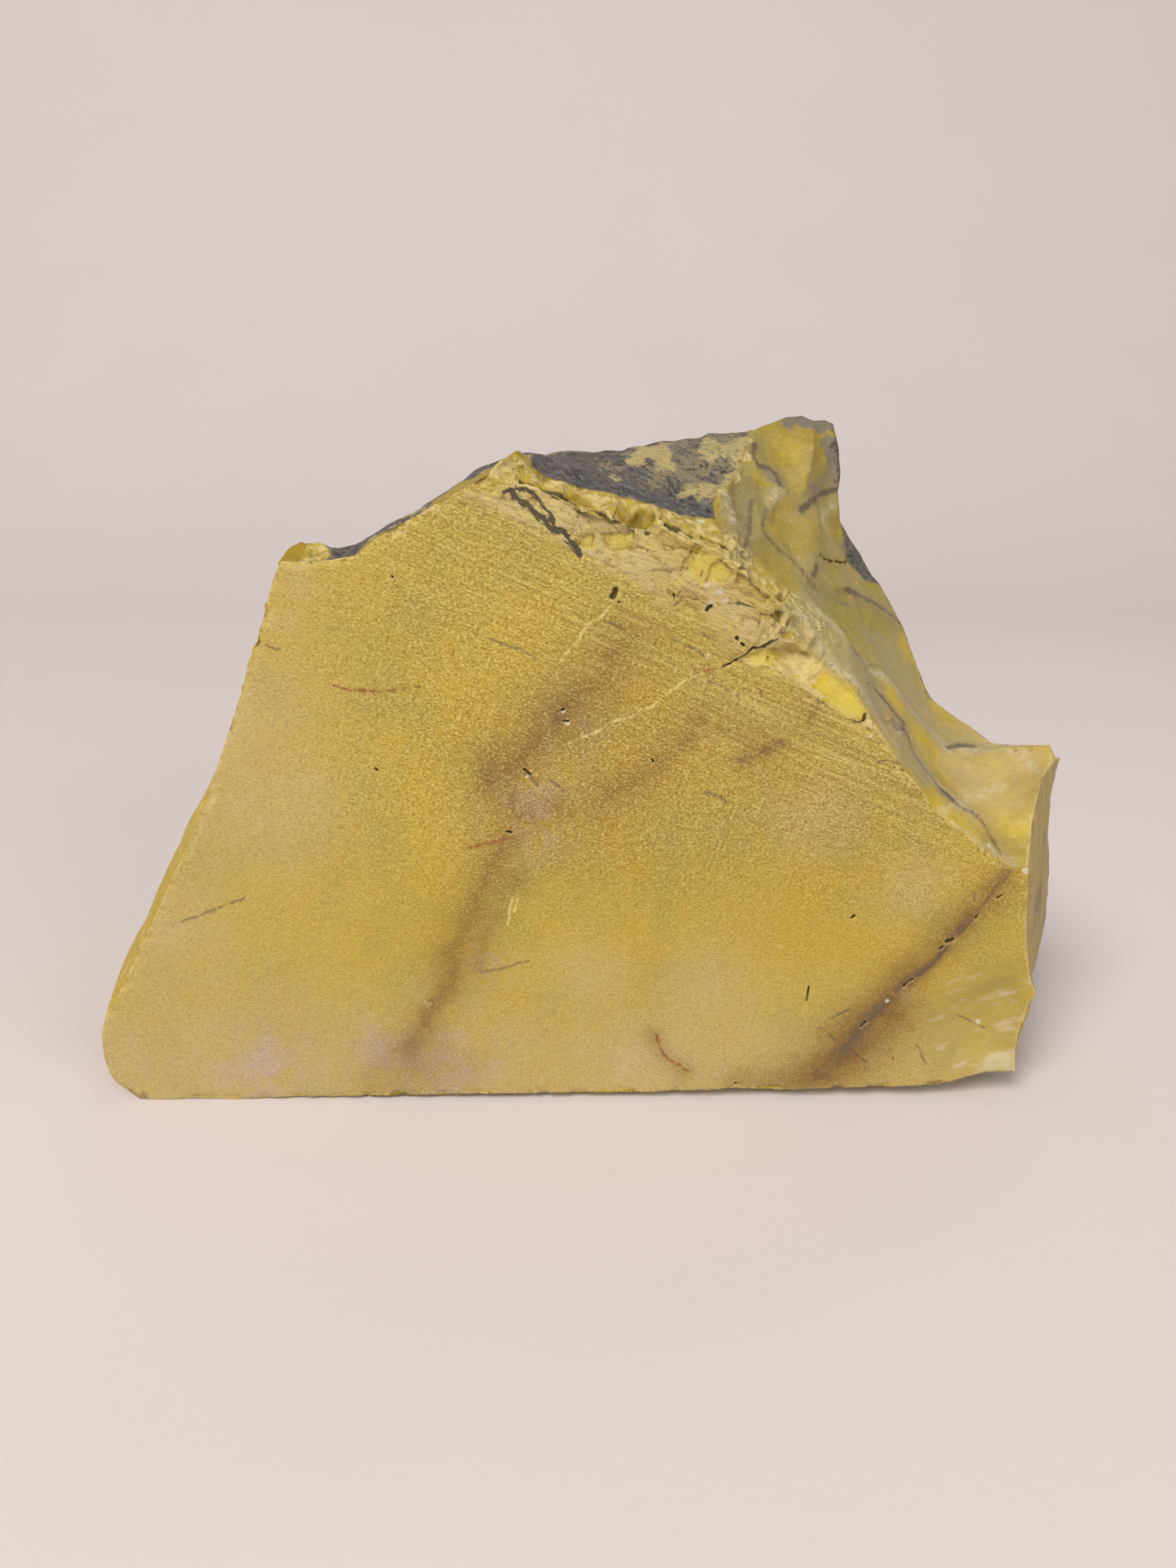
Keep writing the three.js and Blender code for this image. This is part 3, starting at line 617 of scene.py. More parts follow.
# The crushed band between the saw marks and the ledge, and the chip at the lower right
CRUSHED = [(560, 612), (618, 592), (690, 600), (800, 640), (900, 690), (960, 740), (1012, 800), (1070, 870),
           (1100, 915), (1075, 905), (1015, 866), (960, 834), (905, 822), (872, 796), (850, 765), (812, 745),
           (770, 718), (722, 690), (690, 664), (620, 630)]
LOW_CHIP = [(1262, 1165), (1210, 1172), (1160, 1196), (1136, 1222), (1128, 1258), (1138, 1300), (1140, 1335),
            (1280, 1340), (1290, 1200)]
# Smooth yellow facets in the crushed band and the ledge
FACETS = [
    LENS, LONG_FLAKE, END_FLAKE, [(706, 657), (732, 654), (732, 676), (708, 676)],
    [(735, 656), (784, 654), (778, 680), (745, 679)],
    [(854, 672), (880, 680), (905, 706), (893, 716), (860, 720), (845, 704)],
    [(1004, 842), (1016, 826), (1050, 850), (1068, 880), (1040, 882), (1014, 864)],
    [(914, 798), (950, 798), (950, 818), (925, 818)],
]
# Grey areas: the bulge below the horn, the horn's left side and the band above the bright facets
GREY_AREAS = [
    [(966, 730), (1000, 716), (1040, 790), (1085, 850), (1130, 925), (1150, 962), (1132, 968), (1090, 905),
     (1050, 850), (1010, 815), (985, 795), (968, 765)],
    [(884, 600), (900, 560), (926, 590), (926, 640), (920, 700), (906, 700), (892, 650)],
    [(1056, 770), (1100, 780), (1128, 830), (1142, 866), (1172, 905), (1150, 912), (1100, 860)],
]
BROWN_SKIN = [[(1040, 672), (1060, 690), (1066, 706)], [(1028, 582), (1000, 610)], [(945, 577), (958, 590)],
              [(970, 516), (996, 512), (1020, 518)], [(1015, 545), (1030, 600)], [(1104, 890), (1112, 898)],
              [(956, 760), (960, 764)]]
# Cream patches on the rind and on the lip above the bright facets
CREAM_PATCHES = [
    [(944, 792), (966, 786), (1000, 806), (1014, 822), (1004, 840), (984, 836), (962, 826)],
    [(768, 562), (782, 553), (800, 551), (824, 547), (820, 566), (826, 576), (806, 576), (794, 572),
     (790, 580), (770, 572)],
    [(736, 577), (752, 576), (762, 587), (748, 586)],
    [(858, 548), (868, 541), (880, 543), (886, 552), (896, 545), (920, 534), (922, 560), (906, 576),
     (893, 570), (886, 562), (872, 566), (862, 560)],
    [(826, 612), (840, 601), (872, 596), (884, 602), (866, 612), (850, 610), (838, 616)],
    [(882, 592), (896, 580), (912, 566), (914, 580), (902, 592), (896, 606), (886, 604)],
    [(626, 562), (640, 550), (656, 554), (646, 568)],
    [(452, 664), (500, 636), (560, 600), (612, 568), (640, 556), (620, 580), (560, 612), (500, 648),
     (462, 672)],
]

# ---------------------------------------------------------------- where each face of the stone is

# Seen from above, the border between the breaks in front and the rind behind, left to right
RIND_BORDER = [
    (-62, 10.5), (-54.3, 11), (-34.2, 10.5), (-31.2, 8.5), (-28.8, 5), (-26.4, 5.2), (-25, 2), (-25.2, 0.02),
    (-9.3, 0.02), (-8.3, 1.2), (-6.8, 2.6), (-5.5, 3.5), (-4.3, 4), (-2.6, 4.2), (-1.3, 4.5), (0.8, 5.2),
    (3.2, 6), (6.4, 7), (8.9, 8), (10.6, 8.5), (12.2, 9), (13.3, 9.5), (13.3, 12), (13.8, 14), (15.1, 15.5),
    (16.1, 18), (17.3, 21), (18.3, 24), (19.1, 28), (21.3, 29), (23, 30), (25.4, 31), (26.8, 30.5),
    (28.2, 31), (29.2, 31), (30.5, 29), (31.3, 28), (30.8, 26), (32.6, 27.5), (34.1, 28.5), (36.4, 30),
    (38.3, 29), (40.2, 27), (41.9, 24.5), (44.6, 23), (46.8, 21.5), (48.2, 18), (49.6, 14.5), (52.4, 12),
    (54.2, 13), (56, 14.2), (62, 14.5),
]
IN_FRONT = RIND_BORDER + [(62, -40), (-62, -40)]
# Two more breaks behind, seen from the side: at the right above the waist and at the left below it
REAR_BREAK = [(30, 54.3), (37, 49), (38.6, 44), (42, 39), (42, 35), (42, 31), (39, 31.5), (34, 27),
              (27.5, 27.5), (20, 26), (16.5, 32), (13, 37.2), (10, 37.9), (18, 37.4), (21.5, 37.7),
              (23, 38.9), (24.5, 41.3), (26, 44.1), (27, 46.5), (29, 50.7)]
LEFT_BREAK = [(20, 26), (26, 29.5), (32.5, 28), (37, 31), (38.5, 24), (37.5, 14), (37.5, 6), (35, 0),
              (27, -1), (17, -1), (7, -1), (14.5, 12)]
REAR_BREAK_X = 36
LEFT_BREAK_X = -33


def rind_depth(at):
    """How far each place is inside the rind, and less than 0 on sawn and broken faces."""
    behind = -inside_distance(at[:, :2], IN_FRONT)
    at = at + 0.9 * wobble(at, 4, 100) + 0.5 * wobble(at, 1.5, 103)
    rear = np.where(at[:, 0] > REAR_BREAK_X, inside_distance(at[:, 1:], REAR_BREAK), -99)
    left = np.where(at[:, 0] < LEFT_BREAK_X, inside_distance(at[:, 1:], LEFT_BREAK), -99)
    return np.minimum(behind, -np.maximum(rear, left))


# ---------------------------------------------------------------- the stone's mesh

SHARP_RIDGE = math.radians(23)
SHOW_SHARP = math.radians(38)
ON_FACE = 0.02       # how near the plane of a sawn face a place counts as on it
JUST_INSIDE = 0.001  # how far the finished mesh stays inside the solid's box
CARVED_EDGE = 0.16   # the longest mesh edge along cracks and pits
DRAWN_EDGE = 0.24    # the same along thin coloured lines
STAIN_EDGE = 0.55    # the same along narrow stains
NARROW_STAIN = 1.5
NEAR_LINE = 2.0      # how far from those the mesh is finer
REFINING_ROUNDS = 7
FEW_EDGES = 50       # refining stops when fewer edges than this are too long

# The longest mesh edge in the other places
RIND_EDGE = 1.7
RIND_TOP_EDGE = 0.55
BREAK_EDGE = 0.6
REAR_EDGE = 1.0
EAR_EDGE = 0.7
LEDGE_EDGE = 0.32
CRUSHED_EDGE = 0.4
SAWN_EDGE = 1.5
CHIP_EDGE = 0.9
SOLE_EDGE = 4.0

# Regions, as the least and greatest X, Y and Z
FAR = 99
RIND_TOP = [(-FAR, FAR), (-FAR, 29), (60, FAR)]
REAR_RIGHT = [(REAR_BREAK_X, FAR), (27, FAR), (-FAR, FAR)]
REAR_LEFT = [(-FAR, LEFT_BREAK_X), (-FAR, FAR), (-FAR, FAR)]
EAR_END = [(47, FAR), (-FAR, FAR), (-FAR, 37)]
LEDGE = [(-10, 30), (ON_FACE, 10), (44, FAR)]
RIGHT_SIDE = [(46, FAR), (-FAR, 15), (-FAR, 37.5)]
LEFT_SIDE = [(-FAR, -28), (-FAR, 10), (-FAR, FAR)]


def boxed(at, region):
    low, high = np.transpose(region)
    return ((at > low) & (at < high)).all(1)


def read(items, name, each, kind=np.float32):
    """One value of a mesh's points, edges, corners or faces, with a row for each of them."""
    flat = np.empty(len(items) * each, kind)
    items.foreach_get(name, flat)
    return flat.reshape(-1, each)


def points_of(mesh):
    return drawn(read(mesh.vertices, "co", 3).astype(float))


def normals_of(mesh):
    return read(mesh.vertices, "normal", 3).astype(float)


def edges_of(mesh):
    return read(mesh.edges, "vertices", 2, np.int32)


def copy_of_stone():
    """A merged copy of the solid with its ridges creased."""
    alone(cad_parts["mookaite_stone"])
    bpy.ops.object.duplicate()
    stone = bpy.context.active_object
    stone.name = "stone"
    stone.data.materials.clear()
    bpy.ops.object.mode_set(mode="EDIT")
    bpy.ops.mesh.select_mode(type="EDGE")
    bpy.ops.mesh.select_all(action="SELECT")
    bpy.ops.mesh.remove_doubles(threshold=1e-6)
    bpy.ops.mesh.select_all(action="DESELECT")
    bpy.ops.mesh.edges_select_sharp(sharpness=SHARP_RIDGE)
    bpy.ops.transform.edge_crease(value=1)
    bpy.ops.object.mode_set(mode="OBJECT")
    return stone


def smooth_hollows(stone):
    alone(stone)
    smoother = stone.modifiers.new("smooth", "SUBSURF")
    smoother.levels = smoother.render_levels = 1
    bpy.ops.object.modifier_apply(modifier="smooth")


def wanted_edge(at):
    """The longest edge that the mesh may have at each place."""
    rind = rind_depth(at)
    wanted = np.where(rind > 0, RIND_EDGE, BREAK_EDGE)
    wanted[(rind > 0) & boxed(at, RIND_TOP)] = RIND_TOP_EDGE
    for region, longest in ((REAR_RIGHT, REAR_EDGE), (REAR_LEFT, REAR_EDGE), (EAR_END, EAR_EDGE)):
        wanted[(rind <= 0) & boxed(at, region)] = longest
    wanted[boxed(at, LEDGE)] = LEDGE_EDGE
    front = at[:, 1] < ON_FACE
    seen = in_pixels(at[front])
    flat = np.clip(CRUSHED_EDGE + 0.45 * line_distance(at[front], front_edge), CRUSHED_EDGE, SAWN_EDGE)
    flat[inside_distance(seen, CRUSHED) > -8] = CRUSHED_EDGE
    chip = inside_distance(seen, LOW_CHIP) > -12
    flat[chip] = np.minimum(flat[chip], CHIP_EDGE)
    wanted[front] = flat
    wanted[at[:, 2] < ON_FACE] = SOLE_EDGE
    for lines, finest in ((carved_lines, CARVED_EDGE), (drawn_lines, DRAWN_EDGE), (stain_cores, STAIN_EDGE)):
        away = line_distance(at, lines, NEAR_LINE)
        fine = finest + 0.6 * np.maximum(away - 0.25, 0)
        wanted = np.where(away < NEAR_LINE, np.minimum(wanted, fine), wanted)
    return wanted


def refine(stone):
    """Halves edges until none is longer than wanted."""
    alone(stone)
    mesh = stone.data
    wanted = np.zeros(0)
    for _ in range(REFINING_ROUNDS):
        at = points_of(mesh)
        wanted = np.append(wanted, wanted_edge(at[len(wanted):]))
        edges = edges_of(mesh)
        length = np.sqrt(((at[edges[:, 0]] - at[edges[:, 1]]) ** 2).sum(1))
        long = length > wanted[edges].mean(1)
        if long.sum() < FEW_EDGES:
            break
        pick_edges(mesh, long)
        bpy.ops.mesh.subdivide(number_cuts=1)
        bpy.ops.mesh.select_all(action="SELECT")
        bpy.ops.mesh.quads_convert_to_tris(quad_method="SHORTEST_DIAGONAL", ngon_method="BEAUTY")
        bpy.ops.object.mode_set(mode="OBJECT")


def inside_where(chosen, outline):
    """How many pixels the chosen points are inside an outline; the rest are well outside."""
    inside = np.full(len(at), -60.0)
    inside[chosen] = inside_distance(seen[chosen], outline)
    return inside


def deepest_inside(chosen, outlines):
    return np.max([inside_where(chosen, outline) for outline in outlines], axis=0)


def crack_distance(at, lines):
    """How far each place is from the nearest crack, as a share of half the crack's width there."""
    place = at + 0.14 * wobble(at, 0.7, 40)
    wide = 0.9 + 0.7 * clouds(at, 1.3, 43)
    nearest = np.full(len(at), 9.0)
    for line, half in lines:
        nearest = np.minimum(nearest, line_distance(place, [line], 2.0) / (half * wide))
    return nearest


def hollow_depth(at):
    """How deep the flakes, cracks and gaps go into the stone at each place."""
    depth = np.zeros(len(at))
    frayed = 1.4 * clouds(at, 0.9, 5) + 1.2 * clouds(at, 0.4, 6)
    floor = 1 + 0.35 * clouds(at, 1.1, 15)
    for outline, deep, rim in HOLLOWS:
        depth = np.maximum(depth, deep * floor * soft_step(inside_where(visible, outline) + frayed, 0, rim))
    open_cracks = [(line, half) for line, half in crack_lines if half >= OPEN_CRACK]
    depth = np.maximum(depth, CRACK_DEPTH * soft_step(crack_distance(at, open_cracks), 1.5, 0.5))
    return np.maximum(depth, CRACK_DEPTH * soft_step(gap, GAP_WIDTH, 0))


def roughen(at, normal, rind):
    """Lumps and pits on the rind, and flake scars on the broken faces."""
    shift = np.zeros(len(at))
    on = rind > 0
    place = at[on]
    lumps = 0.3 * clouds(place, 5.5, 1) + 0.26 * clouds(place, 2.4, 2) + 0.17 * clouds(place, 1.2, 3)
    pits = 0.35 * soft_step(scoops(place, 2.4, 60, 0.3, 0.9), 0.4, 0.1)
    guard = soft_step(place[:, 0], -34, -26)
    shift[on] = (np.minimum(lumps, guard) - pits) * soft_step(rind[on], 0, 0.7)
    broken = (rind <= 0) & (at[:, 1] > ON_FACE) & (at[:, 2] > ON_FACE)
    place = at[broken]
    big = scoops(place + 0.8 * wobble(place, 4, 20), 6.5, 70) - SUNK_FLAKE
    small = scoops(place + 0.3 * wobble(place, 1.5, 30), 2.2, 80) - SUNK_FLAKE
    crumbs = scoops(place + 0.2 * wobble(place, 0.8, 35), 1.0, 85, 1.2, 1.0) - 0.4
    ledge = soft_step(place[:, 2], 43, 50) * soft_step(place[:, 0], 30, 22) * soft_step(place[:, 1], 10, 7)
    fine = 0.05 * clouds(place, 0.9, 4)
    rough = ledge * (1 - FACET_SMOOTHNESS * facet[broken])
    shift[broken] = (0.35 - 0.1 * ledge) * big + (0.07 + 0.36 * rough) * small + 0.24 * rough * crumbs + fine
    return at + shift[:, None] * normal


def crush(at):
    """The crushed band of the sawn face lies a little lower, in blocks and small steps."""
    inside = inside_where(at[:, 1] < ON_FACE, CRUSHED) + 5 * clouds(at, 2.6, 11) + 3 * clouds(at, 0.9, 12)
    blocks = scoops(at + 0.8 * wobble(at, 2.5, 93), 5.2, 90, 2.4, 1.2)
    steps = scoops(at + 0.3 * wobble(at, 1.0, 97), 1.9, 98, 2.2, 1.0)
    crumbs = scoops(at, 0.9, 96, 1.4, 1.2)
    rough = 1 - FACET_SMOOTHNESS * facet
    levels = terraces(2.4 * clouds(at + 0.9 * wobble(at, 1.6, 105), 4.2, 108) + 0.9 * clouds(at, 1.6, 109))
    depth = CRUSHED_DEPTH + 0.26 * levels + 0.25 * blocks + rough * (0.12 * steps + 0.07 * crumbs)
    at = at.copy()
    at[:, 1] += np.where(inside > 0, np.maximum(depth, 0) * soft_step(inside, 0, 12), 0)
    return at


def low_chip(at):
    """The shallow shell-shaped chip at the lower right of the sawn face."""
    inside = inside_where(at[:, 1] < 0.6, LOW_CHIP) + 6 * clouds(at, 4, 13)
    ripple = 0.07 * np.sin(inside * 0.16) + 0.06 * clouds(at, 1.5, 14)
    at = at.copy()
    deep = soft_step(inside, 0, CHIP_SLOPE) * CHIP_DEPTH + soft_step(inside, 4, 30) * ripple
    at[:, 1] += np.where(inside > 0, deep, 0)
    return at


def nibble_edges(at):
    """Small chips along the sawn face's edges and along its foot."""
    at = at.copy()
    front = at[:, 1] < ON_FACE
    edge = np.full(len(at), 99.0)
    edge[front] = line_distance(at[front], front_edge)
    bite = np.maximum(0.35 * clouds(at, 1.7, 7) + 0.25 * clouds(at, 0.7, 8) + 0.12, 0)
    at[:, 1] += bite * soft_step(edge, 0.7, 0)
    foot = (at[:, 2] < 2.2) & (at[:, 1] < 1.0) & (at[:, 0] > -26)
    wave = np.maximum(clouds(at * (1, 0, 0), 2.6, 9), 0)
    at[:, 2] += np.where(foot, FOOT_WAVE * wave * soft_step(edge, 1.6, 0), 0)
    return at


def pit_distance(at):
    """How far each place is from the nearest pit's line, as a share of the pit's radius."""
    place = at + 0.1 * wobble(at, 0.5, 44)
    nearest = np.full(len(at), 9.0)
    for line, radius in pit_places:
        nearest = np.minimum(nearest, line_distance(place, [line], 1.5) / radius)
    return nearest


def press_pits(at):
    at = at.copy()
    at[:, 1] += PIT_DEPTH * soft_step(pit_distance(at), 1.2, 0.4)
    return at


GRAZING = 0.15    # how far past edge-on a place may turn and still be tried
SKIN_DEPTH = 0.8  # how far below the solid's skin a place may lie


def in_view(at, normal):
    """True where the camera sees the place."""
    found = np.zeros(len(at), bool)
    away = at - EYE
    far = np.sqrt((away**2).sum(1))
    facing = (away * normal).sum(1) < GRAZING * far
    for i in np.flatnonzero(facing):
        hit = skin.ray_cast(Vector(EYE), Vector(away[i] / far[i]))
        found[i] = hit[3] is None or hit[3] > far[i] - SKIN_DEPTH
    return found


stone = copy_of_stone()
smooth_hollows(stone)
first = points_of(stone.data)
skin = BVHTree.FromPolygons([tuple(p) for p in first], [tuple(f.vertices) for f in stone.data.polygons])
crack_lines = traced_pairs(CRACKS)
vein_lines = traced_pairs(DARK_VEINS)
pale_vein_and_highlight_lines = [(line, 1.0) for line in all_traced(PALE_VEINS_AND_HIGHLIGHTS)]
rust_lines, dark_lines, light_lines = map(all_traced, (RUST_LINES, DARK_LINES, LIGHT_LINES))
black_lines = traced_pairs(BLACK_STREAKS)
pit_places = traced_pairs(PITS)
spot_places, blush_places, haze_places = map(placed, (WHITE_SPOTS, BLUSHES, HAZES))
carved_lines = [line for line, _ in crack_lines + pit_places]
stain_lines = [(traced(line), wide, darkness) for line, wide, darkness in STAINS]
stain_cores = [line for line, wide, _ in stain_lines if wide < NARROW_STAIN]
drawn_lines = rust_lines + dark_lines + light_lines + [line for line, _ in black_lines]

on_front = first[:, 1] < ON_FACE
counts = {}
for face in stone.data.polygons:
    if all(on_front[i] for i in face.vertices):
        for key in face.edge_keys:
            counts[key] = counts.get(key, 0) + 1
front_edge = [[first[a], first[b]] for (a, b), uses in counts.items() if uses == 1]

refine(stone)
mesh = stone.data
at = points_of(mesh)
normal = normals_of(mesh)
rind = rind_depth(at)
seen = in_pixels(at)
visible = in_view(at, normal)
front = at[:, 1] < ON_FACE
sole = at[:, 2] < ON_FACE

gap = np.full(len(at), FAR_FROM_GAP)
gap_view = seen[visible] + 1.5 * wobble(at[visible], 0.8, 112)[:, :2]
gap[visible] = line_distance(gap_view, LEDGE_GAPS, FAR_FROM_GAP)
facet = soft_step(deepest_inside(visible, FACETS) + 3 * clouds(at, 0.8, 18), -2, 5)
hollow = hollow_depth(at)
shaped = roughen(at, normal, rind)
shaped[front] = at[front]
shaped = crush(shaped)
shaped = low_chip(shaped)
shaped = nibble_edges(shaped)
shaped -= hollow[:, None] * normal
shaped = press_pits(shaped)
shaped[sole, 2] = 0
shaped = np.clip(shaped, drawn(cad_low) + JUST_INSIDE, drawn(cad_high) - JUST_INSIDE)
mesh.vertices.foreach_set("co", built(shaped).astype(np.float32).ravel())
mesh.update()


def paint(name, values):
    layer = mesh.attributes.new(name, "FLOAT", "POINT")
    layer.data.foreach_set("value", np.asarray(values, np.float32))


def ridge_height(at):
    """How far each point stands out from its neighbours, more than 0 on ridges."""
    edges = edges_of(mesh)
    total = np.zeros((len(at), 3))
    count = np.zeros(len(at))
    for a, b in ((0, 1), (1, 0)):
        np.add.at(total, edges[:, a], at[edges[:, b]])
        np.add.at(count, edges[:, a], 1)
    return ((at - total / count[:, None]) * normals_of(mesh)).sum(1)


def strongest(at, pairs, wide):
    """The greatest of some lines' values at each place, fading over some millimetres to each side."""
    most = np.zeros(len(at))
    for line, value in pairs:
        most = np.maximum(most, value * np.exp(-((line_distance(at, [line], 4 * wide) / wide) ** 2)))
    return most


def nearest_share(at, pairs):
    """How far each place is from the nearest of some lines, as a share of that line's half width."""
    return np.min([line_distance(at, [line], 3.0) / half for line, half in pairs], axis=0)


def paint_stone():
    fray = at + 0.14 * wobble(at, 0.6, 50) + 0.2 * wobble(at, 1.8, 53)
    paint("rind", rind)
    paint("crushed", inside_where(at[:, 1] < 1, CRUSHED))
    paint("chip", inside_where(at[:, 1] < 1, LOW_CHIP) + 6 * clouds(at, 4, 13))
    paint("facet", facet)
    paint("gap", gap / GAP_WIDTH)
    paint("hollow", hollow)
    paint("crack", crack_distance(at, crack_lines))
    paint("vein", strongest(fray, vein_lines, 0.55))
    paint("bruise", strongest(at + 0.6 * wobble(at, 2.2, 71), vein_lines, 1.7))
    paint("pale", strongest(fray, pale_vein_and_highlight_lines, 0.7))
    paint("rust", line_distance(fray, rust_lines, 3))
    paint("dark", line_distance(fray, dark_lines, 3))
    paint("light", line_distance(fray, light_lines, 3))
    paint("black", nearest_share(at + 0.14 * wobble(at, 0.8, 74), black_lines))
    bleed = at + 0.6 * wobble(at, 4, 56) + 0.3 * wobble(at, 1.2, 59)
    clean = np.ones(len(at))
    for line, wide, darkness in stain_lines:
        clean *= 1 - darkness * np.exp(-((line_distance(bleed, [line], wide * 3) / wide) ** 2))
    paint("stain", np.where(at[:, 1] < 1, 1 - clean, 0))
    for name, places in (("blush", blush_places), ("haze", haze_places)):
        spread = [np.exp(-(((bleed - place) ** 2).sum(1)) / radius**2) for place, radius in places]
        paint(name, np.where(at[:, 1] < 1, np.max(spread, axis=0), 0))
    paint("pit", pit_distance(at))
    spots = [np.sqrt(((fray - place) ** 2).sum(1)) / radius for place, radius in spot_places]
    paint("spot", np.min(spots, axis=0))
    paint("grey", deepest_inside(visible, GREY_AREAS))
    paint("skin", line_distance(at + 0.8 * wobble(at, 2.2, 62), all_traced(BROWN_SKIN)))
    paint("cream", deepest_inside(visible, CREAM_PATCHES) + 7 * clouds(at, 1.6, 65) + 4 * clouds(at, 0.7, 66))
    paint("edge", np.clip(ridge_height(shaped) * 6, -1, 1))


paint_stone()

# ---------------------------------------------------------------- finishes

MUSTARD = (0.425, 0.295, 0.034)
GOLD = (0.43, 0.28, 0.022)
OLIVE = (0.34, 0.26, 0.045)
PALE_MUSTARD = (0.62, 0.49, 0.17)
HAZE = (0.46, 0.355, 0.185)
BROWN_STAIN = (0.19, 0.10, 0.022)
PURPLE_HAZE = (0.42, 0.31, 0.25)
ORANGE_STAIN = (0.36, 0.2, 0.025)
RUST = (0.22, 0.055, 0.015)
POWDER = (0.55, 0.43, 0.185)
FRESH_YELLOW = (0.47, 0.33, 0.022)
FACET_YELLOW = (0.52, 0.4, 0.065)
LENS_YELLOW = (0.3, 0.19, 0.008)
FRESH_OLIVE = (0.25, 0.185, 0.035)
DEEP_OLIVE = (0.13, 0.088, 0.012)
GREY_STONE = (0.29, 0.23, 0.11)
DARK_VEIN = (0.085, 0.066, 0.045)
CRACK_SHADE = (0.05, 0.032, 0.012)
WHITE_VEIN_AND_SHEEN = (0.56, 0.50, 0.37)
RIND_GREY = (0.13, 0.12, 0.112)
RIND_LIGHT_GREY = (0.27, 0.255, 0.235)
RIND_TAN = (0.37, 0.30, 0.155)
RIND_CREAM = (0.66, 0.52, 0.21)
RIND_PURPLE = (0.17, 0.125, 0.105)
BLACK_SPECK = (0.028, 0.024, 0.026)
SIDE_TAN = (0.34, 0.245, 0.07)

SAW_ANGLE = 24


